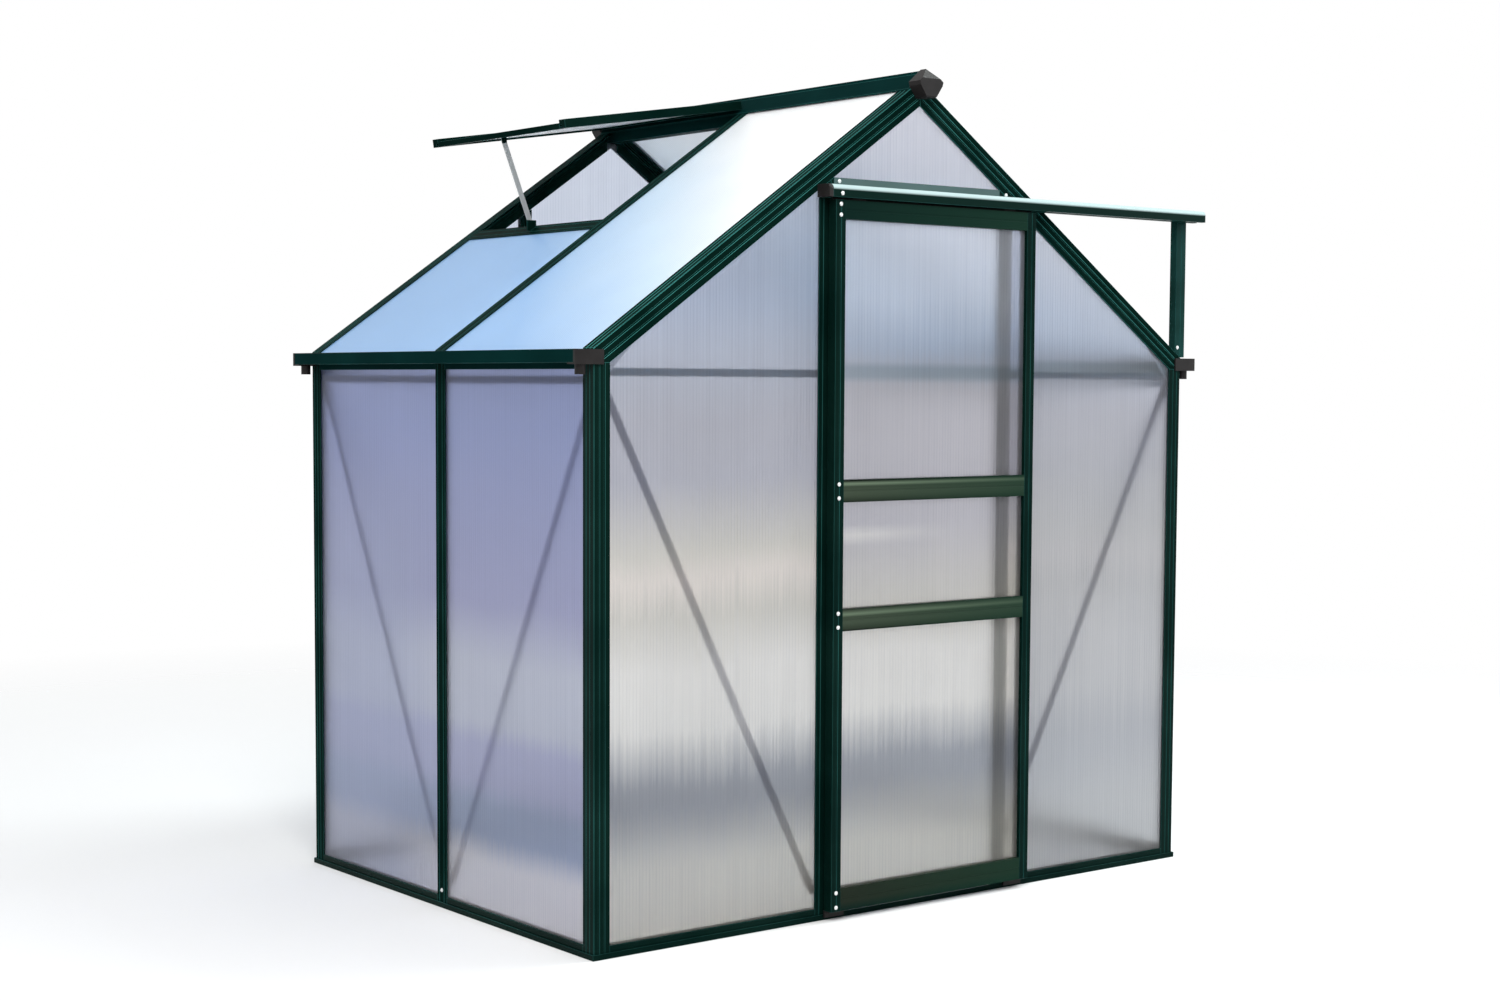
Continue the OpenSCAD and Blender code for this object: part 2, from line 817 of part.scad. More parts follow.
// Bar across the rear bay on which the vent closes, with the lug that carries the stay
module vent_sill_bar() {
    far = wall_y - corner_leg - fit;
    near = cap_w / 2 + fit;
    color(dark_green) left_slope() {
        translate([vent_sill_at, far, 0]) rotate([90, 0, 0]) linear_extrude(far - near)
            mirror([0, 1]) bar_section();
        translate([vent_sill_at, stay_y - stay_t, 0]) rotate([0, roof_pitch, 0])
            translate([-stay_w, 0, -bar_t]) cube([2 * stay_w, stay_t, 2 * stay_w]);
    }
}

// The open vent's own frame: x from the hinge to the free edge, y to the rear, z out of the vent
module vent_frame() {
    translate([-vent_x, 0, vent_z]) mirror([1, 0, 0]) rotate([0, vent_fall, 0]) children();
}

vent_near = vent_side;
vent_far = wall_y - vent_side;

// Vent bar with a groove for the sheet along its inner edge
module vent_bar_section(rise = 0) {
    difference() {
        translate([0, -vent_bar_t / 2]) square([vent_bar_w, vent_bar_t + rise]);
        translate([vent_bar_w - groove_d, -sheet_t / 2 - sheet_gap])
            square([groove_d + eps, sheet_t + 2 * sheet_gap]);
        translate([vent_bar_w / 2 - line_w / 2, vent_bar_t / 2 + rise - line_d]) square([line_w, line_d + eps]);
    }
}

module vent_side_bars() {
    color(dark_green) vent_frame() {
        translate([0, vent_near, 0]) along_x(vent_l) vent_bar_section(vent_side_rise);
        translate([0, vent_far, 0]) mirror([0, 1, 0]) along_x(vent_l) vent_bar_section(vent_side_rise);
    }
}

// Vent bar across the vent, from side bar to side bar
module vent_cross_bar() {
    length = vent_far - vent_near - 2 * vent_bar_w;
    translate([0, vent_far - vent_bar_w, 0]) rotate([90, 0, 0]) linear_extrude(length) vent_bar_section();
}

module vent_hinge_bar() {
    color(dark_green) vent_frame() {
        vent_cross_bar();
        translate([0, vent_far - vent_bar_w, 0]) rotate([90, 0, 0])
            cylinder(r = bead_r / 2, h = vent_far - vent_near - 2 * vent_bar_w);
    }
}

module vent_bottom_bar() {
    color(dark_green) vent_frame() {
        translate([vent_l, 0, 0]) mirror([1, 0, 0]) vent_cross_bar();
        translate([vent_l - stay_w * 2, stay_y - stay_t, -vent_bar_t / 2 - stay_w])
            cube([stay_w, stay_t, stay_w + bar_t]);
    }
}

module vent_sheet() {
    edge = vent_bar_w - groove_d + edge_gap;
    color(sheet_tint) vent_frame() translate([edge, vent_near + edge, -sheet_t / 2])
        cube([vent_l - 2 * edge, vent_far - vent_near - 2 * edge, sheet_t]);
}

// Flat stay from the lug on the sill bar to the lug under the vent's free edge
module vent_stay() {
    reach = vent_l - stay_w * 1.5;
    drop = vent_bar_t / 2 + stay_w / 2;
    top = [
        -vent_x - reach * cos(vent_fall) + drop * sin(vent_fall),
        vent_z - reach * sin(vent_fall) - drop * cos(vent_fall)
    ];
    foot = [-vent_sill_x, roof_z(vent_sill_x, 0) + stay_w];
    lean = atan2(top[1] - foot[1], top[0] - foot[0]);
    length = norm(top - foot);
    color(bare_metal) translate([foot[0], stay_y, foot[1]]) rotate([0, -lean, 0]) {
        translate([0, 0, -stay_w / 2]) cube([length, stay_t, stay_w]);
        for (at = [0, length])
            translate([at, 0, 0]) rotate([-90, 0, 0]) cylinder(d = stay_w, h = stay_t);
    }
}

// Door bar: thickness along y, groove for the sheet along its inner edge
module door_bar_section(width, low_groove, high_groove) {
    difference() {
        translate([0, door_mid - door_t / 2]) square([width, door_t]);
        for (at = [if (low_groove) 0, if (high_groove) width])
            translate([at - groove_d - eps / 2, door_mid - sheet_t / 2 - sheet_gap])
                square([2 * groove_d + eps, sheet_t + 2 * sheet_gap]);
        for (y = [door_mid - door_t / 2, door_mid + door_t / 2])
            translate([width / 2 - line_w / 2, y - line_d]) square([line_w, 2 * line_d]);
    }
}

module door_stiles() {
    color(dark_green) front_wall() translate([0, 0, door_foot]) linear_extrude(door_top - door_foot) {
        translate([door_left, 0]) door_bar_section(stile_w, false, true);
        translate([door_right - stile_w, 0]) door_bar_section(stile_w, true, false);
    }
}

// Level bar of the door between the stiles, from a given height
module door_rail(z, height, low_groove, high_groove) {
    length = door_w - 2 * stile_w;
    translate([door_left + stile_w, 0, z]) along_x(length) mirror([1, -1])
        door_bar_section(height, low_groove, high_groove);
}

module door_rails() {
    color(dark_green) front_wall() {
        door_rail(door_foot, bottom_rail_h, false, true);
        door_rail(lower_rail_z, middle_rail_h, true, true);
        door_rail(upper_rail_z, middle_rail_h, true, true);
        door_rail(door_top - top_rail_h, top_rail_h, true, false);
    }
}

module door_sheets() {
    lap = groove_d - edge_gap;
    low = [door_foot + bottom_rail_h, lower_rail_z + middle_rail_h, upper_rail_z + middle_rail_h];
    high = [lower_rail_z, upper_rail_z, door_top - top_rail_h];
    color(sheet_tint) front_wall() for (i = [0:2])
        translate([door_left + stile_w - lap, door_mid - sheet_t / 2, low[i] - lap])
            cube([door_w - 2 * stile_w + 2 * lap, sheet_t, high[i] - low[i] + 2 * lap]);
}

// Hanger on the door's top rail with a roller on each side, running on the track's lips
module door_roller(x) {
    plate_w = 40;
    plate_t = 4;
    axle = track_z + bar_t + roller_r + fit;
    wheel_t = (track_out - 2 * bar_t - slot_w) / 2 - 3;
    wheel_in = slot_w / 2 + 1;
    translate([x - plate_w / 2, door_mid - plate_t / 2, door_top])
        cube([plate_w, plate_t, axle + roller_r / 2 - door_top]);
    translate([x, door_mid, axle]) rotate([90, 0, 0]) {
        cylinder(r = roller_r / 3, h = 2 * (wheel_in + wheel_t), center = true);
        for (side = [-1, 1])
            translate([0, 0, side * (wheel_in + wheel_t / 2)]) cylinder(r = roller_r, h = wheel_t, center = true);
    }
}

module door_rollers() {
    color(plug_black) front_wall() {
        door_roller(door_left + hanger_in);
        door_roller(door_right - hanger_in);
    }
}

// Moulded guides under the door: a plate with a tongue that runs along the outside of the sill's lip
module door_guides() {
    guide_w = 60;
    tongue_t = 6;
    lip_gap = 2;
    tongue_y = -lip_out - lip_gap - tongue_t;
    plate_y = door_mid - door_t / 4;
    color(plug_black) front_wall() for (x = [door_left, door_right - guide_w]) {
        translate([x, plate_y, door_foot - bar_t]) cube([guide_w, tongue_y + tongue_t - plate_y, bar_t]);
        translate([x, tongue_y, lip_h / 2]) cube([guide_w, tongue_t, door_foot - lip_h / 2]);
    }
}

front_sill();
rear_sill();
left_sill();
right_sill();
front_corner_posts();
rear_corner_posts();
side_middle_posts();
door_jambs();
rear_studs();
left_gutter();
right_gutter();
gutter_end_caps();
front_rafters();
rear_rafters();
middle_rafters();
ridge_bar();
ridge_end_caps();
side_rails();
gable_rails();
front_braces();
rear_braces();
side_braces();
eave_gussets();
gable_header();
door_track();
track_plugs();
track_support();
left_wall_sheets();
right_wall_sheets();
front_wall_sheets();
front_gable_sheet();
rear_wall_sheets();
left_roof_sheets();
right_roof_sheets();
vent_sill_bar();
vent_side_bars();
vent_hinge_bar();
vent_bottom_bar();
vent_sheet();
vent_stay();
door_stiles();
door_rails();
door_sheets();
door_rollers();
door_guides();
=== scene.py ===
"""Finishes, fluted sheets and fasteners of a polycarbonate greenhouse, laid out as an add-on."""

import json
import math

import bmesh
import bpy
import numpy as np
from bpy.props import FloatProperty, FloatVectorProperty, IntProperty, PointerProperty
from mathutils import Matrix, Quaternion, Vector


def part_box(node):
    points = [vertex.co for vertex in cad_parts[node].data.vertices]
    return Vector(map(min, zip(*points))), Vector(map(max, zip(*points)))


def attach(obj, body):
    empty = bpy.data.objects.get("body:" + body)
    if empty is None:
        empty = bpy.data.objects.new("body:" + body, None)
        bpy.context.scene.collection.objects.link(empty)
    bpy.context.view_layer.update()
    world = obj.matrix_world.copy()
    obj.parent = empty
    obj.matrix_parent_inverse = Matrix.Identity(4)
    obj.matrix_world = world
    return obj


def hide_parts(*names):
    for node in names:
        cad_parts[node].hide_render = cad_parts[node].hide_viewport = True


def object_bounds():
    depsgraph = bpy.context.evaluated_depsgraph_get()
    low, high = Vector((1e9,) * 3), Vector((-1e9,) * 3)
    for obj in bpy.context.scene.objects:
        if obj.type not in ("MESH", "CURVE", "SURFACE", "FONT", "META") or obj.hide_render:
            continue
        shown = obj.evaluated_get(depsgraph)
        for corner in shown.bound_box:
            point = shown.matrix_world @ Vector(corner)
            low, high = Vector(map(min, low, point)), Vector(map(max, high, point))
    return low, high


bl_info = {
    "name": "Polycarbonate greenhouse",
    "version": (1, 0, 0),
    "blender": (4, 5, 0),
    "location": "View3D > Sidebar > Greenhouse",
    "description": "Dresses a packed greenhouse frame with paint, fluted sheets and fasteners",
    "category": "Object",
}

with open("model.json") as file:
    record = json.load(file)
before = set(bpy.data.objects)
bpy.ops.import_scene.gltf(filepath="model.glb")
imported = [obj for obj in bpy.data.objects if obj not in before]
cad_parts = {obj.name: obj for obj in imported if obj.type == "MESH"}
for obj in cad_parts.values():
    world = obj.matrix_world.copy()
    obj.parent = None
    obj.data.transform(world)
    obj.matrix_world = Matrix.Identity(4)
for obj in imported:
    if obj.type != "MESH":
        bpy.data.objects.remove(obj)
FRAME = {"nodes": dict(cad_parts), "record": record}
CAD_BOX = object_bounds()
NODES = FRAME["nodes"]
SLOT_OF = {part["node"]: part["material_slot"] for part in FRAME["record"]["subparts"]}
BODY_OF = {
    node: body for body, members in FRAME["record"]["behaviour"]["bodies"].items() for node in members
}
MM = 0.001
RIGHT, REAR, UP = Vector((1, 0, 0)), Vector((0, 1, 0)), Vector((0, 0, 1))
FRONT = -REAR
WHITE = (1.0, 1.0, 1.0)

# Coats
COAT_GLOSS = 0.03
DULL_GLOSS = 0.002
DULL_BARS = (
    "front_rafters", "rear_rafters", "middle_rafters", "side_middle_posts", "rear_corner_posts",
    "vent_sill_bar", "vent_side_bars", "vent_hinge_bar", "vent_bottom_bar",
)
# Strength of the painted sheen on a middle rail of the door, by the share of the rail's height; the strongest pair
# paints a highlight line high on the rail
RAIL_PAINTED_SHEEN = (
    (0.0, 0.2), (0.14, 0.8), (0.40, 1.3), (0.70, 1.0), (0.76, 3.6), (0.84, 3.6), (0.90, 0.2),
)
LEVEL_DRIFT = 0.0005
WELD_GAP = 0.01 * MM
FLAT_ANGLE, SHARP_ANGLE = math.radians(0.5), math.radians(30)

# Sheets
RIB_LINE = "rib_line"
RIB_COLUMNS = 3
RIB_STRETCH = (140.0, 140.0, 0.9)
STREAK_SHIFT = 0.026
STREAK_TONES = [(0.30, (0.91, 0.915, 0.925)), (0.62, WHITE)]
RIB_TONES = [(0.35, (0.74, 0.76, 0.80)), (0.65, (0.92, 0.93, 0.95))]
SHEET_ROUGHNESS = (0.285, 0.33)
SHEET_IOR = 1.35
SHEET_GLOSS = 0.3
SLOPE_LIGHT = (0, -0.8, 1.6)
OUTLINE_GAP = 0.1 * MM

# Bolts: a single bolt has its bar, a corner as shares of the bar's box, its distance from there in millimetres and
# the side that it faces
BOLT_FACING = "facing"
BOLT_SIDES = 12
BOLT_CROWN, BOLT_FLANK = 0.42, 0.62
BRACE_INSET = 14 * MM
SINGLE_BOLTS = (
    ("gable_header", (0, 0, 1), (16, 0, -8), FRONT),
    ("gable_header", (1, 0, 1), (22, 0, -12), FRONT),
    ("door_track", (0, 0, 0), (27, 0, 9), FRONT),
    ("door_track", (1, 0.5, 1), (-17, 0, 0), UP),
    ("track_support", (0, 0, 0), (9, 0, 26), FRONT),
)

# Draught brush
TUFT_SIDES = 6
TUFT_WIDTH, TUFT_TIP = 1.3, 0.36
BRUSH_GAP = 0.4 * MM

# Lamps: name, place, size and colour
LAMPS = (
    ("key", (-3.6, -4.2, 4.6), (3.2, 3.2), (1.0, 0.985, 0.96)),
    ("fill", (4.8, -2.6, 3.2), (2.4, 2.4), (0.93, 0.96, 1.0)),
    ("strip", (2.9, -0.9, 5.0), (0.6, 4.2), (0.92, 1.0, 0.98)),
)


# Settings


def colour_setting(name, description, default):
    return FloatVectorProperty(name=name, description=description, subtype="COLOR", size=3, default=default)


def length_setting(name, description, default, low, high):
    """A length whose default and limits are given in millimetres."""
    return FloatProperty(
        name=name, description=description, subtype="DISTANCE", unit="LENGTH",
        default=default * MM, min=low * MM, max=high * MM,
    )


def power_setting(name, description, default):
    return FloatProperty(name=name, description=description, unit="POWER", default=default, min=0, max=5000)


class FinishSettings(bpy.types.PropertyGroup):
    """Colours of the paint, sheets, mouldings and metal, with the painted light and shade on some bars"""

    paint: colour_setting("Frame paint", "Bottle green powder coat of the bars", (0.0026, 0.0130, 0.0100))
    paint_shade: colour_setting(
        "Frame paint shade", "Darker clouding in the powder coat", (0.0008, 0.0080, 0.0062)
    )
    paint_sheen: colour_setting(
        "Frame paint sheen", "Tint of the reflections on the powder coat", (0.35, 0.86, 0.80)
    )
    gutter_paint: colour_setting(
        "Gutter paint", "Fresher green of the gutters and the ridge", (0.0020, 0.0215, 0.0205)
    )
    # Painted reflection: the grey-green that the bar over the door shows
    header_reflection: colour_setting(
        "Header paint", "Grey painted reflection on the bar over the door", (0.085, 0.135, 0.132)
    )
    # Painted light: the blue-green of the rails behind the sheets
    inner_rail_light: colour_setting(
        "Inner rail paint", "Blue-green painted light on the rails behind the sheets", (0.002, 0.075, 0.135)
    )
    # Painted sheen and highlight on the door's lower rails
    rail_sheen: colour_setting("Door rail paint", "Green painted sheen on the door's lower rails", (0.034, 0.046, 0.031))
    # Painted shade on the door's rails towards the right
    rail_shade: colour_setting(
        "Door rail shade", "Darker green painted shade on the door's rails towards the right", (0.008, 0.030, 0.018)
    )
    # Painted sky reflection on the top of the door track
    track_reflection: colour_setting(
        "Track hood paint", "Pale painted sky reflection on the top of the door track", (0.42, 0.54, 0.54)
    )
    # Painted highlight on the bars' rounded edges
    arris_highlight: colour_setting(
        "Arris paint", "Painted highlight on the bars' arrises and groove edges", (0.022, 0.105, 0.096)
    )
    moulding: colour_setting(
        "Mouldings", "Black plastic of the end caps, rollers, guides and brush", (0.011, 0.0095, 0.0095)
    )
    far_tint: colour_setting(
        "Clear sheets", "Tint of the sheets in the rear and right walls", (0.94, 0.955, 0.975)
    )
    bare_metal: colour_setting("Bare metal", "Mill-finish aluminium of the braces", (0.29, 0.32, 0.40))
    zinc: colour_setting("Zinc", "Bright zinc of the bolts, washers, gussets and stay", (0.86, 0.88, 0.88))
    edge_round: length_setting("Edge rounding", "Rounding of the extruded bars' edges", 0.5, 0.05, 1.2)


class TintSettings(bpy.types.PropertyGroup):
    """Painted light in the sheets: tints of the surroundings' reflections and of what shows through, painted into
    the colour from the ground up to the ridge
    """

    warm: colour_setting("Warm tint", "Foot of the front sheets", (0.77, 0.74, 0.68))
    dusk: colour_setting("Dusk tint", "Dim band low in the front sheets", (0.46, 0.47, 0.51))
    bright: colour_setting("Bright tint", "Bright band in the middle of the door", (0.94, 0.91, 0.87))
    amber: colour_setting("Amber tint", "Warm line above the bright band", (0.91, 0.84, 0.78))
    haze: colour_setting("Haze tint", "Dim band at the height of the rails", (0.56, 0.56, 0.62))
    sky: colour_setting("Sky tint", "Upper part of the front sheets and of the rear gable", (0.66, 0.71, 0.82))
    pale: colour_setting("Pale tint", "Peak of the front gable", (0.85, 0.85, 0.93))
    calm: colour_setting("Calm tint", "Even grey of the front sheets on the far right", (0.57, 0.57, 0.59))
    rose: colour_setting("Rose tint", "Band over the door's upper rail", (0.64, 0.62, 0.66))
    line: colour_setting("Line tint", "Soft level line of the rear rail in the front sheets", (0.34, 0.42, 0.48))
    clear: colour_setting("Clear tint", "Top of the door", (0.86, 0.88, 0.96))
    still: colour_setting("Still tint", "Even blue of the left wall's rear bay", (0.44, 0.48, 0.66))
    mist: colour_setting("Mist tint", "Foot of the left wall", (0.86, 0.83, 0.87))
    slate: colour_setting("Slate tint", "Dim line low in the left wall", (0.44, 0.50, 0.67))
    lilac: colour_setting("Lilac tint", "Step above the dim line of the left wall", (0.54, 0.55, 0.75))
    silver: colour_setting("Silver tint", "Bright band in the left wall", (0.66, 0.68, 0.79))
    violet: colour_setting("Violet tint", "Middle of the left wall", (0.45, 0.46, 0.67))
    deep: colour_setting("Deep tint", "Top of the left wall", (0.35, 0.40, 0.65))
    azure: colour_setting("Azure tint", "Lower part of the left slope", (0.34, 0.56, 0.86))
    ice: colour_setting("Ice tint", "Upper part of the left slope, and the right slope", (0.69, 0.83, 0.96))


class SheetSettings(bpy.types.PropertyGroup):
    """Sizes of the flutes in the twin-wall sheets"""

    pitch: length_setting("Flute pitch", "Distance between the ribs of a sheet", 9, 4, 12)
    groove_width: length_setting(
        "Rib line width", "Width of the line that a rib leaves in the sheet's faces", 2.4, 0.4, 3
    )
    groove_depth: length_setting(
        "Rib line depth", "Depth of the line that a rib leaves in the sheet's faces", 0.25, 0.05, 1
    )


class BoltSettings(bpy.types.PropertyGroup):
    """Sizes of the bolts and of the door's draught brush"""

    head: length_setting("Bolt head", "Radius of a bolt's head", 3.6, 2, 8)
    rise: length_setting("Bolt rise", "Height of a bolt's head", 2.6, 1, 6)
    washer: length_setting("Washer", "Radius of the washer under a bolt's head", 5, 3, 12)
    washer_t: length_setting("Washer thickness", "Thickness of the washer under a bolt's head", 1, 0.4, 3)
    tuft: length_setting("Brush tuft", "Spacing of the tufts of the door's draught brush", 4, 2, 10)
    rail_inset: length_setting("Door bolt inset", "Distance of a door bolt from its rail's edges", 10, 4, 20)
    foot_rise: length_setting("Foot bolt height", "Height of the bolts at the posts' feet", 42, 20, 90)


class StageSettings(bpy.types.PropertyGroup):
    """Camera, floor and light"""

    camera_place: FloatVectorProperty(
        name="Camera", description="Place of the camera",
        subtype="TRANSLATION", unit="LENGTH", size=3, default=(-3.7616, -4.8083, 1.2745),
    )
    azimuth: FloatProperty(
        name="Azimuth", description="Turn of the camera round the greenhouse, in degrees", default=-38.039,
    )
    elevation: FloatProperty(
        name="Elevation", description="Fall of the camera's view, in degrees", default=4.003,
    )
    roll: FloatProperty(
        name="Roll", description="Roll of the camera, in degrees", default=0.292,
    )
    lens: FloatProperty(
        name="Lens", description="Focal length in millimetres", default=55.152, min=10, max=200,
    )
    rise: FloatProperty(
        name="Lens shift", description="Upward shift of the view, as a share of its width", default=0.03,
    )
    floor_radius: length_setting("Floor", "Radius of the floor", 7000, 2000, 30000)
    floor_sides: IntProperty(
        name="Floor sides", description="Corners of the round floor", default=96, min=12, max=256,
    )
    sky: FloatProperty(
        name="Sky", description="Strength of the even light from all round", default=0.70, min=0, max=3,
    )
    key_power: power_setting("Key light", "Power of the large lamp in front of the left corner", 300)
    fill_power: power_setting("Fill light", "Power of the lamp on the right", 90)
    strip_power: power_setting("Strip light", "Power of the long lamp above the right slope", 130)


def settings(name):
    return getattr(bpy.context.scene, "greenhouse_" + name)


# Node helpers, for materials, the world and Geometry Nodes


def join(tree, value, socket):
    """Links a socket to another one, or gives it a plain value."""
    if isinstance(value, bpy.types.NodeSocket):
        tree.links.new(value, socket)
    else:
        socket.default_value = value


def add_node(tree, kind, inputs=(), **fields):
    """A new node with its fields set and its inputs joined."""
    made = tree.nodes.new(kind)
    for field, value in fields.items():
        setattr(made, field, value)
    for key, value in dict(inputs).items():
        join(tree, value, made.inputs[key])
    return made


def calculate(tree, operation, first, second=0.0):
    return add_node(tree, "ShaderNodeMath", {0: first, 1: second}, operation=operation).outputs[0]


# Material helpers


def new_material(name):
    """A material with a cleared tree, its Principled shader wired to the output, and its tree."""
    material = bpy.data.materials.new(name)
    material.use_nodes = True
    tree = material.node_tree
    tree.nodes.clear()
    shader = add_node(tree, "ShaderNodeBsdfPrincipled")
    add_node(tree, "ShaderNodeOutputMaterial", {"Surface": shader.outputs["BSDF"]})
    return material, tree, shader


def object_point(tree, scale=(1, 1, 1)):
    """Object coordinates, stretched by a Mapping node."""
    place = add_node(tree, "ShaderNodeTexCoord")
    return add_node(tree, "ShaderNodeMapping", {"Vector": place.outputs["Object"], "Scale": scale}).outputs[0]


def noise(tree, scale, detail=2.0, stretch=(1, 1, 1)):
    point = object_point(tree, stretch)
    made = add_node(tree, "ShaderNodeTexNoise", {"Vector": point, "Scale": scale, "Detail": detail})
    return made.outputs["Fac"]


def ramp(tree, value, stops):
    """Colour ramp over a value; stops are (position, colour)."""
    node = add_node(tree, "ShaderNodeValToRGB", {"Fac": value})
    elements = node.color_ramp.elements
    while len(elements) < len(stops):
        elements.new(0.5)
    for element, (position, colour) in zip(elements, stops):
        element.position = position
        element.color = (*colour, 1.0)
    return node.outputs["Color"]


def spread(tree, value, low, high):
    """Maps a value from 0..1 to low..high."""
    return add_node(tree, "ShaderNodeMapRange", {"Value": value, "To Min": low, "To Max": high}).outputs["Result"]


def bump(tree, shader, value, strength, distance):
    made = add_node(tree, "ShaderNodeBump", {"Height": value, "Strength": strength, "Distance": distance})
    join(tree, made.outputs["Normal"], shader.inputs["Normal"])


def blend(tree, kind, share, first, second):
    """Colour mix of two sockets or colours."""
    mix = add_node(tree, "ShaderNodeMix", data_type="RGBA", blend_type=kind)
    for label, value in (("Factor", share), ("A", first), ("B", second)):
        join(tree, value, next(s for s in mix.inputs if s.name == label and s.enabled))
    return next(s for s in mix.outputs if s.enabled)


def shaded(colour, share):
    return tuple(channel * share for channel in colour)


def share_along(tree, direction, low, high, drift):
    """Share of the way from low to high along a direction in object space, with a soft waver."""
    dot = add_node(tree, "ShaderNodeVectorMath", {0: object_point(tree), 1: direction}, operation="DOT_PRODUCT")
    share = add_node(tree, "ShaderNodeMapRange", {
        "Value": dot.outputs["Value"], "From Min": low, "From Max": high,
    })
    return calculate(tree, "ADD", share.outputs["Result"], spread(tree, noise(tree, 2.2), -drift, drift))


def soft_window(tree, direction, low, high, soft):
    """1 between low and high along a direction in object space, and 0 outside, with soft edges."""
    into = share_along(tree, direction, low - soft, low + soft, 0.1)
    past = share_along(tree, direction, high - soft, high + soft, 0.1)
    return calculate(tree, "MULTIPLY", into, spread(tree, past, 1.0, 0.0))


# Finishes


def grained(name, grain, stops, sheen, rough):
    """A material whose colour follows one noise and whose roughness follows another."""
    material, tree, shader = new_material(name)
    join(tree, ramp(tree, noise(tree, *grain), stops), shader.inputs["Base Color"])
    join(tree, spread(tree, noise(tree, *sheen), *rough), shader.inputs["Roughness"])
    return material, tree, shader


def coat_skin(tree, shader, gloss):
    """Tinted gloss and a fine orange-peel skin."""
    shader.inputs["Specular IOR Level"].default_value = gloss
    shader.inputs["Specular Tint"].default_value = (*settings("finish").paint_sheen, 1.0)
    bump(tree, shader, noise(tree, 900.0, 1.0), 0.08, 0.2 * MM)


def powder_coat(name, paint, shade, gloss=COAT_GLOSS):
    """Powder coat with faint clouding."""
    stops = [(0.32, shade), (0.68, paint)]
    material, tree, shader = grained(name, (5.0, 4.0), stops, (38.0, 3.0), (0.24, 0.36))
    coat_skin(tree, shader, gloss)
    return material


def level_coat(name, node, stops, painted_right_shade=None):
    """Powder coat whose colour follows stops up the height of a CAD node, and painted_right_shade on its right; it
    carries painted light: sheen, highlights and sky reflection by height, and painted shade towards the right.
    """
    material, tree, shader = new_material(name)
    low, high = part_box(node)
    colour = ramp(tree, share_along(tree, UP, low.z, high.z, LEVEL_DRIFT), stops)
    # Painted shade: darker towards the right end
    if painted_right_shade:
        side = share_along(tree, RIGHT, low.x, high.x, 0.15)
        colour = blend(tree, "MIX", spread(tree, side, 0.0, 0.7), colour, (*painted_right_shade, 1.0))
    join(tree, colour, shader.inputs["Base Color"])
    join(tree, spread(tree, noise(tree, 38.0, 3.0), 0.26, 0.38), shader.inputs["Roughness"])
    coat_skin(tree, shader, COAT_GLOSS)
    return material


def moulded_plastic():
    """Black plastic with a fine spark-eroded grain, made once."""
    name = "moulded_plastic"
    if name in bpy.data.materials:
        return bpy.data.materials[name]
    moulding = settings("finish").moulding
    stops = [(0.35, shaded(moulding, 0.7)), (0.7, shaded(moulding, 1.35))]
    material, tree, shader = grained(name, (22.0, 3.0), stops, (60.0, 2.0), (0.42, 0.58))
    shader.inputs["Specular IOR Level"].default_value = 0.16
    bump(tree, shader, noise(tree, 1400.0), 0.25, 0.15 * MM)
    return material


def mill_aluminium(name, metal):
    """Bare aluminium with fine drawing lines and dull patches."""
    stops = [(0.3, shaded(metal, 0.8)), (0.7, metal)]
    patches, lines = (9.0, 4.0, (1, 1, 0.25)), (120.0, 2.0, (1, 1, 0.1))
    material, tree, shader = grained(name, patches, stops, lines, (0.30, 0.48))
    shader.inputs["Metallic"].default_value = 0.85
    return material


def zinc_plate():
    """Bright zinc of the bolts, with a faint passivation bloom."""
    zinc = settings("finish").zinc
    stops = [(0.3, shaded(zinc, 0.82)), (0.7, zinc)]
    material, tree, shader = grained("zinc_plate", (160.0, 3.0), stops, (90.0, 2.0), (0.28, 0.44))
    shader.inputs["Metallic"].default_value = 0.6
    return material


def twin_wall(name, direction, bands, waver, clarity, patches=()):
    """Translucent twin-wall sheet: soft bands of tint along a direction and patches of tint, which are painted
    light (the surroundings' reflections and what shows through, painted into the colour), darker rib lines and a
    blurred view through. Patches are (tint, share, window across, window up). Upright ribs are streaked."""
    material, tree, shader = new_material(name)
    upright = direction is UP
    low, high = bands[0][0], bands[-1][0]
    place = share_along(tree, direction, low, high, waver)
    if upright:
        streaks = noise(tree, 1.0, 2.0, RIB_STRETCH)
        place = calculate(tree, "ADD", place, spread(tree, streaks, -STREAK_SHIFT, STREAK_SHIFT))
    colour = ramp(tree, place, [((level - low) / (high - low), tint) for level, tint in bands])
    for tint, share, across, up in patches:
        mask = calculate(tree, "MULTIPLY", soft_window(tree, *across), soft_window(tree, UP, *up))
        colour = blend(tree, "MIX", spread(tree, mask, 0.0, share), colour, (*tint, 1.0))
    if upright:
        colour = blend(tree, "MULTIPLY", 1.0, colour, ramp(tree, streaks, STREAK_TONES))
    rib = add_node(tree, "ShaderNodeAttribute", attribute_name=RIB_LINE)
    colour = blend(tree, "MULTIPLY", rib.outputs["Fac"], colour, ramp(tree, noise(tree, 7.0), RIB_TONES))
    join(tree, colour, shader.inputs["Base Color"])
    join(tree, spread(tree, noise(tree, 3.0), *SHEET_ROUGHNESS), shader.inputs["Roughness"])
    shader.inputs["Transmission Weight"].default_value = clarity
    shader.inputs["IOR"].default_value = SHEET_IOR
    shader.inputs["Specular IOR Level"].default_value = SHEET_GLOSS
    return material


# Shapes


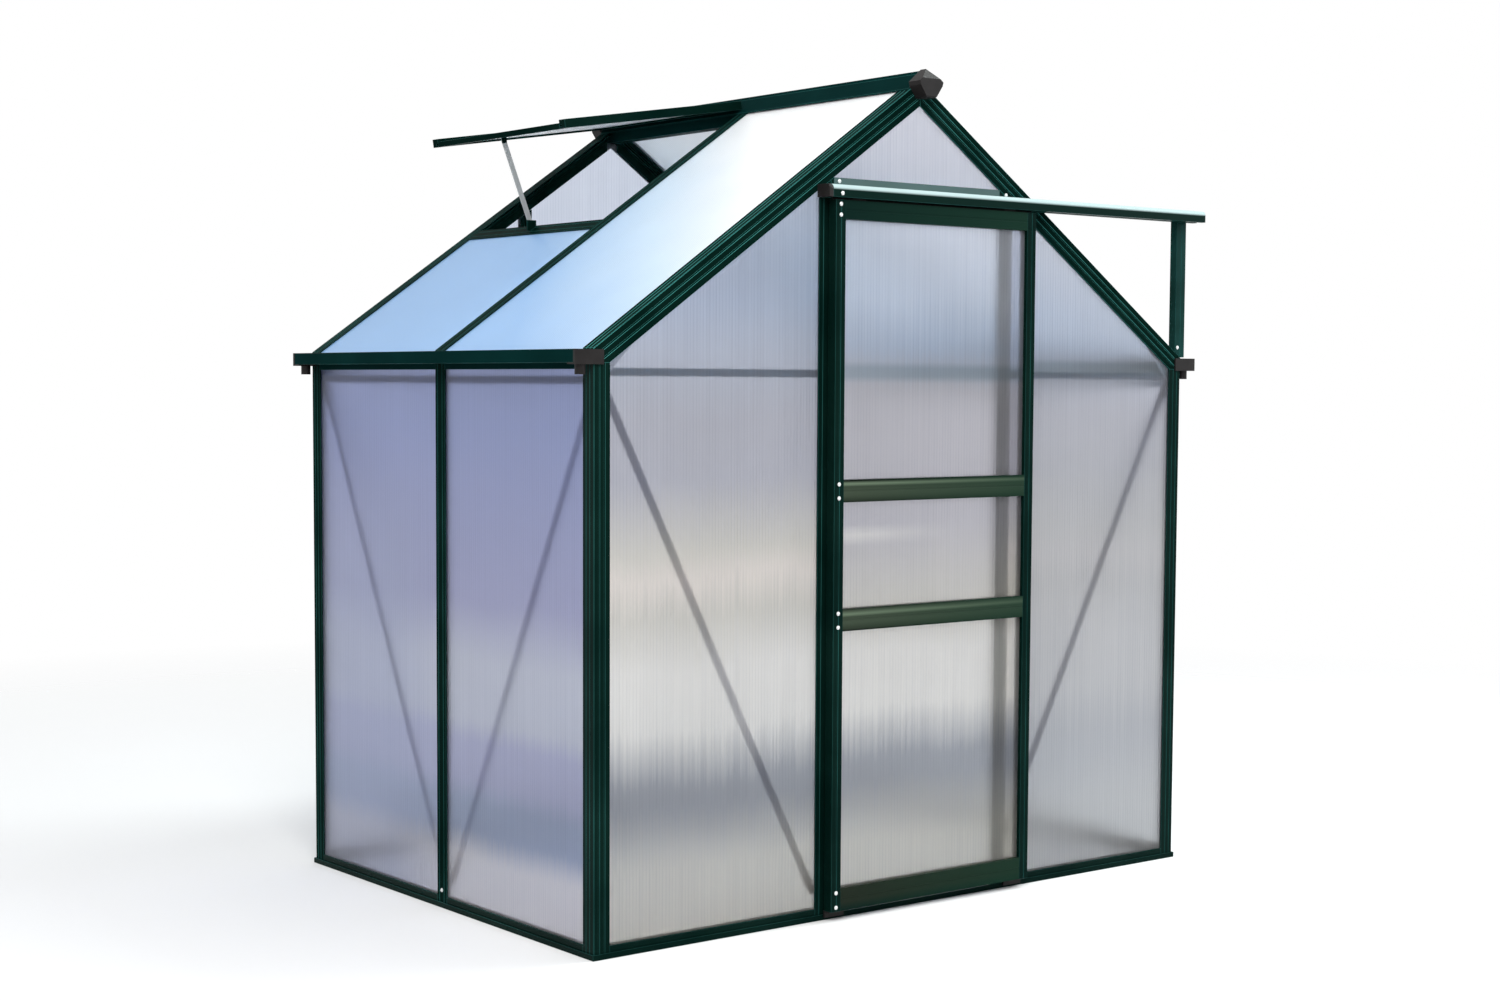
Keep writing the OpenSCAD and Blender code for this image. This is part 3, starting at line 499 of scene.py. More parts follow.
class TreeBuilder:
    """Adds nodes to a geometry tree and joins them by value."""

    def __init__(self, name, inputs):
        self.tree = bpy.data.node_groups.new(name, "GeometryNodeTree")
        self.identifier = {}
        self.tree.interface.new_socket("Geometry", in_out="INPUT", socket_type="NodeSocketGeometry")
        for label, kind in inputs:
            socket = self.tree.interface.new_socket(label, in_out="INPUT", socket_type="NodeSocket" + kind)
            self.identifier[label] = socket.identifier
        self.tree.interface.new_socket("Geometry", in_out="OUTPUT", socket_type="NodeSocketGeometry")
        self.source = self.tree.nodes.new("NodeGroupInput")
        self.sink = self.tree.nodes.new("NodeGroupOutput")

    def given(self, label):
        return self.source.outputs[label]

    def node(self, kind, inputs=(), **fields):
        return add_node(self.tree, kind, inputs, **fields)

    def math(self, operation, first, second=0.0):
        return calculate(self.tree, operation, first, second)

    def vector(self, operation, first, second):
        return self.node("ShaderNodeVectorMath", {0: first, 1: second}, operation=operation).outputs[0]

    def along(self, direction, distance):
        scaled = self.node("ShaderNodeVectorMath", {0: direction, "Scale": distance}, operation="SCALE")
        return scaled.outputs[0]

    def finish(self, geometry, material):
        """Realizes the instances, sets the material and ends the tree."""
        plain = self.node("GeometryNodeRealizeInstances", {"Geometry": geometry})
        painted = self.node("GeometryNodeSetMaterial", {"Geometry": plain.outputs[0], "Material": material})
        self.tree.links.new(painted.outputs[0], self.sink.inputs["Geometry"])


def place_object(name, data):
    """A new object in the scene that holds the given data."""
    made = bpy.data.objects.new(name, data)
    bpy.context.scene.collection.objects.link(made)
    return made


def run_tree(builder, mesh, values):
    """Runs a tree on a mesh with the given input values and returns the plain mesh that it makes."""
    carrier = place_object("carrier", mesh)
    modifier = carrier.modifiers.new("shape", "NODES")
    modifier.node_group = builder.tree
    for label, value in values.items():
        modifier[builder.identifier[label]] = value
    graph = bpy.context.evaluated_depsgraph_get()
    made = bpy.data.meshes.new_from_object(carrier.evaluated_get(graph))
    carrier.modifiers.remove(modifier)
    bpy.data.objects.remove(carrier)
    return made


def fluted_sheet_tree():
    """A sheet drawn by rule: columns across its flutes, a level foot and a top that falls from a crest."""
    builder = TreeBuilder("fluted_sheet", [
        ("Columns", "Int"), ("Width", "Float"), ("Pitch", "Float"), ("Line width", "Float"),
        ("Line depth", "Float"), ("Thickness", "Float"), ("Height", "Float"), ("Crest", "Float"),
        ("Reach", "Float"), ("Eave", "Float"), ("Fall", "Float"),
        ("Corner", "Vector"), ("Across", "Vector"), ("Along", "Vector"), ("Outward", "Vector"),
        ("Finish", "Material"),
    ])
    given = builder.given
    grid = builder.node("GeometryNodeMeshGrid", {
        "Size X": 1.0, "Size Y": 1.0, "Vertices X": given("Columns"), "Vertices Y": 2,
    })
    place = builder.node("GeometryNodeInputPosition").outputs[0]
    parts = builder.node("ShaderNodeSeparateXYZ", {0: place})
    share_x = builder.math("ADD", parts.outputs["X"], 0.5)
    upper = builder.math("GREATER_THAN", parts.outputs["Y"], 0.0)
    last = builder.math("SUBTRACT", given("Columns"), 1.0)
    column = builder.math("ROUND", builder.math("MULTIPLY", share_x, last))
    rib = builder.math("FLOOR", builder.math("DIVIDE", column, RIB_COLUMNS))
    step = builder.math("MODULO", column, RIB_COLUMNS)
    half_line = builder.math("MULTIPLY", given("Line width"), 0.5)
    rib_place = builder.math("MULTIPLY", builder.math("ADD", rib, 0.5), given("Pitch"))
    offset = builder.math("MULTIPLY", builder.math("SUBTRACT", step, 1.0), half_line)
    across = builder.math("MINIMUM", builder.math("ADD", rib_place, offset), given("Width"))
    first = builder.math("LESS_THAN", column, 0.5)
    across = builder.math("MULTIPLY", across, builder.math("SUBTRACT", 1.0, first))
    at_end = builder.math("GREATER_THAN", column, builder.math("SUBTRACT", last, 0.5))
    keep = builder.math("SUBTRACT", 1.0, at_end)
    far_edge = builder.math("MULTIPLY", at_end, given("Width"))
    across = builder.math("ADD", builder.math("MULTIPLY", across, keep), far_edge)
    from_crest = builder.math("ABSOLUTE", builder.math("SUBTRACT", across, given("Crest")))
    rise = builder.math("MULTIPLY", builder.math("SUBTRACT", given("Reach"), from_crest), given("Fall"))
    top = builder.math("MINIMUM", builder.math("ADD", rise, given("Eave")), given("Height"))
    along = builder.math("MULTIPLY", top, upper)
    in_groove = builder.node("ShaderNodeMath", {0: step, 1: 1.0, 2: 0.1}, operation="COMPARE").outputs[0]
    depth = builder.math("MULTIPLY", builder.math("MULTIPLY", in_groove, given("Line depth")), -1.0)
    made = builder.vector("ADD", given("Corner"), builder.along(given("Across"), across))
    made = builder.vector("ADD", made, builder.along(given("Along"), along))
    front = builder.vector("ADD", made, builder.along(given("Outward"), depth))
    inset = builder.math("SUBTRACT", builder.math("MULTIPLY", given("Thickness"), -1.0), depth)
    back = builder.vector("ADD", made, builder.along(given("Outward"), inset))
    marked = builder.node("GeometryNodeStoreNamedAttribute", {
        "Geometry": grid.outputs["Mesh"], "Name": RIB_LINE, "Value": in_groove,
    }, data_type="FLOAT", domain="POINT")
    face = builder.node("GeometryNodeSetPosition", {"Geometry": marked.outputs[0], "Position": front})
    rear = builder.node("GeometryNodeSetPosition", {"Geometry": marked.outputs[0], "Position": back})
    rear = builder.node("GeometryNodeFlipFaces", {"Mesh": rear.outputs[0]})
    both = builder.node("GeometryNodeJoinGeometry")
    builder.tree.links.new(face.outputs[0], both.inputs[0])
    builder.tree.links.new(rear.outputs[0], both.inputs[0])
    builder.finish(both.outputs[0], given("Finish"))
    return builder


def bolt_tree():
    """Bolt heads on washers, one on each point, each set along its point's own direction."""
    builder = TreeBuilder("frame_bolts", [
        ("Head", "Float"), ("Rise", "Float"), ("Washer", "Float"), ("Washer thickness", "Float"),
        ("Finish", "Material"),
    ])
    given = builder.given
    rings = builder.node("GeometryNodeMeshCylinder", {
        "Vertices": BOLT_SIDES, "Side Segments": 4, "Fill Segments": 1, "Radius": 1.0, "Depth": 4.0,
    })
    place = builder.node("GeometryNodeInputPosition").outputs[0]
    parts = builder.node("ShaderNodeSeparateXYZ", {0: place})
    level = parts.outputs["Z"]

    def past(ring):
        """1 from the given ring on, counted up from the foot, and 0 below it."""
        return builder.math("GREATER_THAN", level, ring - 2.5)

    narrower = builder.math("SUBTRACT", given("Washer"), given("Head"))
    radius = builder.math("SUBTRACT", given("Washer"), builder.math("MULTIPLY", narrower, past(2)))
    crown = builder.math("MULTIPLY", builder.math("MULTIPLY", given("Head"), BOLT_CROWN), past(4))
    radius = builder.math("SUBTRACT", radius, crown)
    height = builder.math("MULTIPLY", given("Washer thickness"), past(1))
    flank = builder.math("MULTIPLY", given("Rise"), builder.math("MULTIPLY", past(3), BOLT_FLANK))
    dome = builder.math("MULTIPLY", given("Rise"), builder.math("MULTIPLY", past(4), 1 - BOLT_FLANK))
    height = builder.math("ADD", height, builder.math("ADD", flank, dome))
    shaped = builder.node("ShaderNodeCombineXYZ", {
        "X": builder.math("MULTIPLY", parts.outputs["X"], radius),
        "Y": builder.math("MULTIPLY", parts.outputs["Y"], radius),
        "Z": height,
    })
    head = builder.node("GeometryNodeSetPosition", {
        "Geometry": rings.outputs["Mesh"], "Position": shaped.outputs[0],
    })
    facing = builder.node("GeometryNodeInputNamedAttribute", {"Name": BOLT_FACING}, data_type="FLOAT_VECTOR")
    turn = builder.node("FunctionNodeAlignRotationToVector", {"Vector": facing.outputs["Attribute"]}, axis="Z")
    heads = builder.node("GeometryNodeInstanceOnPoints", {
        "Points": given("Geometry"), "Instance": head.outputs[0], "Rotation": turn.outputs[0],
    })
    builder.finish(heads.outputs[0], given("Finish"))
    return builder


def brush_tree():
    """A row of short bristle tufts, each a blunt cone, along a step."""
    builder = TreeBuilder("brush_tufts", [
        ("Count", "Int"), ("Start", "Vector"), ("Step", "Vector"), ("Width", "Float"), ("Height", "Float"),
        ("Finish", "Material"),
    ])
    given = builder.given
    row = builder.node("GeometryNodeMeshLine", {
        "Count": given("Count"), "Start Location": given("Start"), "Offset": given("Step"),
    }, mode="OFFSET")
    tuft = builder.node("GeometryNodeMeshCone", {
        "Vertices": TUFT_SIDES, "Radius Bottom": builder.math("MULTIPLY", given("Width"), 0.5),
        "Radius Top": builder.math("MULTIPLY", given("Width"), TUFT_TIP), "Depth": given("Height"),
    })
    tufts = builder.node("GeometryNodeInstanceOnPoints", {
        "Points": row.outputs["Mesh"], "Instance": tuft.outputs["Mesh"],
    })
    builder.finish(tufts.outputs[0], given("Finish"))
    return builder


def close_rim(mesh):
    """Joins the open rims of a sheet's two faces, column by column."""
    work = bmesh.new()
    work.from_mesh(mesh)
    rims = [edge for edge in work.edges if edge.is_boundary]
    bmesh.ops.bridge_loops(work, edges=rims)
    bmesh.ops.recalc_face_normals(work, faces=work.faces)
    work.to_mesh(mesh)
    work.free()


def loose_solids(node):
    """Corner points of each separate solid of a CAD node, always in the same order."""
    work = bmesh.new()
    work.from_mesh(NODES[node].data)
    bmesh.ops.remove_doubles(work, verts=work.verts, dist=WELD_GAP)
    solids, seen = [], set()
    for start in work.verts:
        if start in seen:
            continue
        seen.add(start)
        group, queue = [], [start]
        while queue:
            vertex = queue.pop()
            group.append(vertex.co.copy())
            for edge in vertex.link_edges:
                other = edge.other_vert(vertex)
                if other not in seen:
                    seen.add(other)
                    queue.append(other)
        solids.append(group)
    work.free()
    return solids


def sheet_outline(points, across, along, outward):
    """Sizes of a sheet's outline from its corner points: width, foot, top line and outer face."""
    flat = [(p.dot(across), p.dot(along), p.dot(outward)) for p in points]
    near = OUTLINE_GAP
    left = min(u for u, _, _ in flat)
    right = max(u for u, _, _ in flat)
    foot = min(w for _, w, _ in flat)
    height = max(w for _, w, _ in flat)
    face = max(n for _, _, n in flat)
    thickness = face - min(n for _, _, n in flat)
    left_top = max(w for u, w, _ in flat if u < left + near)
    right_top = max(w for u, w, _ in flat if u > right - near)
    width = right - left
    level = abs(left_top - right_top) < near
    crest = width / 2 if level else (width if right_top > left_top else 0.0)
    reach = width / 2 if level else width
    eave = min(left_top, right_top)
    flat_half = max(abs(u - left - crest) for u, w, _ in flat if w > height - near)
    run = max(reach - flat_half, near)
    fall = (height - eave) / run if height - eave > near else 0.0
    return {
        "Width": width, "Thickness": thickness, "Height": height - foot, "Crest": crest, "Reach": reach,
        "Eave": eave - foot, "Fall": fall,
        "Corner": across * left + along * foot + outward * face,
    }


def fluted_mesh(builder, points, across, along, outward, material):
    """Mesh of one fluted sheet that fills the space of a CAD sheet."""
    sheet = settings("sheet")
    values = sheet_outline(points, across, along, outward)
    ribs = int(values["Width"] / sheet.pitch)
    values.update({
        "Columns": RIB_COLUMNS * ribs + 2, "Pitch": values["Width"] / ribs,
        "Line width": sheet.groove_width, "Line depth": sheet.groove_depth,
        "Across": across, "Along": along, "Outward": outward, "Finish": material,
    })
    made = run_tree(builder, bpy.data.meshes.new("seed"), values)
    close_rim(made)
    return made


def boxes_of(node):
    """Lowest and highest corner of each separate solid of a CAD node."""
    boxes = []
    for points in loose_solids(node):
        low = Vector([min(p[axis] for p in points) for axis in range(3)])
        high = Vector([max(p[axis] for p in points) for axis in range(3)])
        boxes.append((low, high))
    return boxes


def join_meshes(name, meshes):
    """One object at the origin that holds all the meshes."""
    work = bmesh.new()
    for mesh in meshes:
        work.from_mesh(mesh)
    joined = bpy.data.meshes.new(name)
    work.to_mesh(joined)
    work.free()
    return place_object(name, joined)


def slope_frame(points):
    """Across, along and outward directions of a tilted sheet, from its corner points."""
    flat = np.array([tuple(p) for p in points])
    axes = np.linalg.svd(flat - flat.mean(0))[2]
    outward = Vector(axes[2])
    if outward.z < 0:
        outward.negate()
    return REAR, outward.cross(REAR), outward


# Operators


class GREENHOUSE_OT_paint_frame(bpy.types.Operator):
    """Paints the bars, mouldings and bare metal, with painted highlights, reflections and shade on some bars, and
    rounds their edges
    """

    bl_idname = "greenhouse.paint_frame"
    bl_label = "Paint the frame"

    def execute(self, context):
        finish = settings("finish")
        paints = {
            "green_frame": powder_coat("powder_coat", finish.paint, finish.paint_shade),
            "black_plastic": moulded_plastic(),
            "bare_aluminium": mill_aluminium("mill_aluminium", finish.bare_metal),
        }
        own = self.own_coats(finish)
        # Painted highlights on the rounded edges of the green bars; the front rafters' are brighter
        arris = powder_coat("arris_coat", finish.arris_highlight, shaded(finish.arris_highlight, 0.45))
        glint = powder_coat("glint_coat", shaded(finish.arris_highlight, 2.6), shaded(finish.arris_highlight, 1.4))
        for name, piece in NODES.items():
            paint = own.get(name) or paints.get(SLOT_OF[name])
            if paint is None:
                continue
            piece.data.materials.clear()
            piece.data.materials.append(paint)
            bright = SLOT_OF[name] == "green_frame" and name != "door_rails"
            if bright:
                piece.data.materials.append(glint if name == "front_rafters" else arris)
            self.round_edges(piece, 1 if bright else -1)
        return {"FINISHED"}

    def own_coats(self, finish):
        """Finishes of the pieces that differ from their material slot's; several carry painted light: highlights,
        reflections, sheen and shade.
        """
        fresh = powder_coat("fresh_coat", finish.gutter_paint, shaded(finish.gutter_paint, 0.7), DULL_GLOSS)
        dull = powder_coat("dull_coat", finish.paint, finish.paint_shade, DULL_GLOSS)
        # Painted light: the rails behind the sheets in blue-green
        inner = powder_coat("inner_coat", finish.inner_rail_light, shaded(finish.inner_rail_light, 0.8))
        # Painted sky reflection: the top of the door track turns pale
        hood = [(0.0, finish.paint), (0.56, finish.paint), (0.72, finish.track_reflection)]
        return {
            **{name: dull for name in DULL_BARS},
            "left_gutter": fresh, "right_gutter": fresh, "ridge_bar": fresh,
            "side_rails": inner, "gable_rails": inner,
            "eave_gussets": mill_aluminium("bright_metal", finish.zinc),
            "vent_stay": mill_aluminium("stay_metal", shaded(finish.zinc, 0.55)),
            # Painted sheen, highlight line and shade on the door's rails
            "door_rails": level_coat("rail_coat", "door_rails", self.rail_stops(finish), finish.rail_shade),
            "door_track": level_coat("track_coat", "door_track", hood),
            # Painted highlight: the track's post in a brighter green
            "track_support": powder_coat("support_coat", shaded(finish.arris_highlight, 0.45), finish.paint),
            # Painted reflection: the bar over the door in grey
            "gable_header": powder_coat("header_coat", finish.header_reflection, shaded(finish.header_reflection, 0.85)),
        }

    def rail_stops(self, finish):
        """Colours up the door's rails, as painted light: a dim painted sheen on the foot rail, a painted sheen
        with a highlight line on the two middle rails, and a plain top rail.
        """
        painted_sheen, dim = finish.rail_sheen, shaded(finish.rail_sheen, 0.4)
        foot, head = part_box("door_rails")
        stops = [(0.0, finish.paint), (0.012, dim), (0.1, dim)]
        for low, high in sorted(boxes_of("door_rails"), key=lambda box: box[0].z)[1:3]:
            for share, strength in RAIL_PAINTED_SHEEN:
                place = low.z + (high.z - low.z) * share
                stops.append(((place - foot.z) / (head.z - foot.z), shaded(painted_sheen, strength)))
        return stops + [(0.80, finish.paint)]

    def round_edges(self, piece, finish_slot):
        """Welds a bar's triangles, clears its flat faces and rounds its edges, which take the given finish: on the
        green bars, a painted highlight.
        """
        weld = piece.modifiers.new("weld", "WELD")
        weld.merge_threshold = WELD_GAP
        flatten = piece.modifiers.new("flatten", "DECIMATE")
        flatten.decimate_type = "DISSOLVE"
        flatten.angle_limit = FLAT_ANGLE
        bevel = piece.modifiers.new("round", "BEVEL")
        bevel.width = settings("finish").edge_round
        bevel.segments = 2
        bevel.limit_method = "ANGLE"
        bevel.angle_limit = SHARP_ANGLE
        bevel.harden_normals = False
        bevel.material = finish_slot


class GREENHOUSE_OT_hang_sheets(bpy.types.Operator):
    """Makes the fluted polycarbonate sheets in the walls, roof, door and vent"""

    bl_idname = "greenhouse.hang_sheets"
    bl_label = "Hang the sheets"

    def execute(self, context):
        left, front, door = self.front_finishes(settings("tint"))
        roof, slope, clear = self.far_finishes(settings("tint"))
        builder = fluted_sheet_tree()
        plans = {
            "left_wall_sheets": (FRONT, -RIGHT, left),
            "right_wall_sheets": (REAR, RIGHT, clear),
            "front_wall_sheets": (RIGHT, FRONT, front),
            "front_gable_sheet": (RIGHT, FRONT, front),
            "rear_wall_sheets": (-RIGHT, REAR, clear),
            "door_sheets": (RIGHT, FRONT, door),
            "left_roof_sheets": (None, None, roof),
            "right_roof_sheets": (None, None, slope),
            "vent_sheet": (None, None, slope),
        }
        for node, (across, outward, material) in plans.items():
            meshes = []
            for points in loose_solids(node):
                frame = slope_frame(points) if across is None else (across, UP, outward)
                meshes.append(fluted_mesh(builder, points, *frame, material))
            piece = join_meshes(node + "_fluted", meshes)
            piece.data.materials.append(material)
            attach(piece, BODY_OF[node])
            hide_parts(node)
        return {"FINISHED"}

    def front_finishes(self, tint):
        """Finishes of the left wall, the front wall and the door, with their painted light: tints by height in
        metres and patches.
        """
        # Painted light: bands of the surroundings' reflections and of what shows through, by height
        left_bands = [
            (0.00, tint.mist), (0.15, tint.mist), (0.21, tint.slate), (0.28, tint.slate), (0.33, tint.lilac),
            (0.43, tint.lilac), (0.48, tint.silver), (0.62, tint.silver), (0.76, tint.violet), (1.18, tint.deep),
            (1.35, tint.deep),
        ]
        low_bands = [
            (0.00, tint.warm), (0.18, tint.warm), (0.325, tint.dusk), (0.38, tint.dusk), (0.50, tint.bright),
            (0.64, tint.bright),
        ]
        front_bands = low_bands + [
            (0.76, tint.warm), (0.84, tint.amber), (0.90, tint.warm), (1.06, tint.haze), (1.20, tint.haze),
            (1.45, tint.sky), (2.03, tint.pale),
        ]
        door_bands = low_bands + [
            (0.74, tint.warm), (0.95, tint.rose), (1.26, tint.rose), (1.36, tint.sky), (1.48, tint.clear),
            (1.71, tint.clear),
        ]
        rear_bay = (REAR, 0.10, 2.0, 0.15)
        right_panel = (RIGHT, 0.36, 2.0, 0.04)
        whole_door = (RIGHT, -2.0, 2.0, 0.1)
        door_left = (RIGHT, -2.0, -0.05, 0.15)
        # Painted light: an even blue in the left wall's rear bay
        left_patches = [(tint.still, 0.6, rear_bay, (-1.0, 0.95, 0.15))]
        # Painted light: an even grey in the front wall's right panel, a clear top, and the rear rail showing
        # through as a soft line
        front_patches = [
            (tint.calm, 0.8, right_panel, (-1.0, 1.15, 0.15)),
            (tint.clear, 0.5, right_panel, (1.36, 3.0, 0.05)),
            (tint.line, 0.6, right_panel, (1.300, 1.336, 0.006)),
        ]
        # Painted light: the rear rail showing through the door as a soft line, and a painted bright streak low on
        # the left
        door_patches = [
            (tint.line, 0.7, whole_door, (1.286, 1.322, 0.008)),
            (tint.bright, 0.7, door_left, (0.905, 0.932, 0.012)),
        ]
        return (
            twin_wall("left_sheet", UP, left_bands, 0.02, 0.92, left_patches),
            twin_wall("front_sheet", UP, front_bands, 0.02, 0.92, front_patches),
            twin_wall("door_sheet", UP, door_bands, 0.02, 0.92, door_patches),
        )

    def far_finishes(self, tint):
        """Finishes of the left slope, of the right slope and the vent, and of the rear and right walls, with
        painted sky light in their bands.
        """
        far = settings("finish").far_tint
        # Painted sky light: blue low on the left slope, paler on the right slope and white towards the ridge; sky
        # blue at the top of the clear sheets, which are slightly darker towards the bottom
        roof_bands = [(2.00, tint.azure), (2.45, tint.azure), (2.87, tint.ice), (3.20, WHITE)]
        slope_bands = [(2.00, tint.ice), (2.30, tint.ice), (3.20, WHITE)]
        clear_bands = [(0.0, shaded(far, 0.97)), (1.36, far), (1.50, tint.sky), (2.03, tint.sky)]
        return (
            twin_wall("roof_sheet", SLOPE_LIGHT, roof_bands, 0.08, 0.30),
            twin_wall("slope_sheet", SLOPE_LIGHT, slope_bands, 0.08, 0.85),
            twin_wall("clear_sheet", UP, clear_bands, 0.02, 0.97),
        )


class GREENHOUSE_OT_fit_bolts(bpy.types.Operator):
    """Sets the bolts in the door, the posts, the header, the track and the braces"""

    bl_idname = "greenhouse.fit_bolts"
    bl_label = "Fit the bolts"

    def execute(self, context):
        builder = bolt_tree()
        zinc = zinc_plate()
        for body, places in (("door", self.door_bolts()), ("frame", self.frame_bolts())):
            piece = self.bolts(builder, body + "_bolts", places, zinc)
            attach(piece, body)
        return {"FINISHED"}

    def bolts(self, builder, name, places, material):
        """One object that holds a bolt at each place; places are (point, direction)."""
        bolt = settings("bolt")
        seeds = bpy.data.meshes.new("seeds")
        seeds.from_pydata([point for point, _ in places], [], [])
        facing = seeds.attributes.new(BOLT_FACING, "FLOAT_VECTOR", "POINT")
        facing.data.foreach_set("vector", [value for _, direction in places for value in direction])
        mesh = run_tree(builder, seeds, {
            "Head": bolt.head, "Rise": bolt.rise, "Washer": bolt.washer, "Washer thickness": bolt.washer_t,
            "Finish": material,
        })
        mesh.name = name
        return place_object(name, mesh)

    def door_bolts(self):
        """Two bolts in the left stile at each rail of the door."""
        inset = settings("bolt").rail_inset
        low, high = min(boxes_of("door_stiles"), key=lambda box: box[0].x)
        middle = (low.x + high.x) / 2
        places = []
        for rail_low, rail_high in boxes_of("door_rails"):
            for z in (rail_low.z + inset, rail_high.z - inset):
                places.append((Vector((middle, low.y, z)), FRONT))
        return places

    def frame_bolts(self):
        """Bolts at the posts' feet, the header's ends, the track, its post and the braces' ends."""
        places = []
        for node, axis in (("side_middle_posts", 0), ("rear_studs", 1)):
            for low, high in boxes_of(node):
                outer = (low + high) / 2
                side = 1 if outer[axis] > 0 else -1
                outer[axis] = (high if side > 0 else low)[axis]
                outer.z = settings("bolt").foot_rise
                direction = Vector((0, 0, 0))
                direction[axis] = side
                places.append((outer, direction))
        for node, corner, distance, direction in SINGLE_BOLTS:
            low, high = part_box(node)
            point = Vector([a + (b - a) * share for a, b, share in zip(low, high, corner)])
            places.append((point + Vector(distance) * MM, direction))
        for node, inward in (("front_braces", REAR), ("rear_braces", FRONT), ("side_braces", None)):
            for points in loose_solids(node):
                places += self.brace_bolts(points, inward)
        return places

    def brace_bolts(self, points, inward):
        """A bolt near each end of a flat brace, on its inner face."""
        middle = sum(points, Vector()) / len(points)
        if inward is None:
            inward = RIGHT if middle.x < 0 else -RIGHT
        face = max(point.dot(inward) for point in points)
        ranked = sorted(points, key=lambda point: point.z)
        places = []
        for end in (ranked[:4], ranked[-4:]):
            centre = sum(end, Vector()) / len(end)
            centre += (middle - centre).normalized() * BRACE_INSET
            centre += inward * (face - centre.dot(inward))
            places.append((centre, inward))
        return places


class GREENHOUSE_OT_seal_door(bpy.types.Operator):
    """Sets the draught brush along the top of the door, under its track"""

    bl_idname = "greenhouse.seal_door"
    bl_label = "Seal the door"

    def execute(self, context):
        tuft = settings("bolt").tuft
        low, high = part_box("door_stiles")
        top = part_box("door_rails")[1].z
        mesh = run_tree(brush_tree(), bpy.data.meshes.new("brush_seed"), {
            "Count": int((high.x - low.x) / tuft),
            "Start": Vector((low.x + tuft / 2, (low.y + high.y) / 2, top)), "Step": Vector((tuft, 0, 0)),
            "Width": tuft * TUFT_WIDTH, "Height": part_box("door_track")[0].z - top - BRUSH_GAP,
            "Finish": moulded_plastic(),
        })
        mesh.name = "door_brush"
        piece = place_object("door_brush", mesh)
        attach(piece, "door")
        return {"FINISHED"}


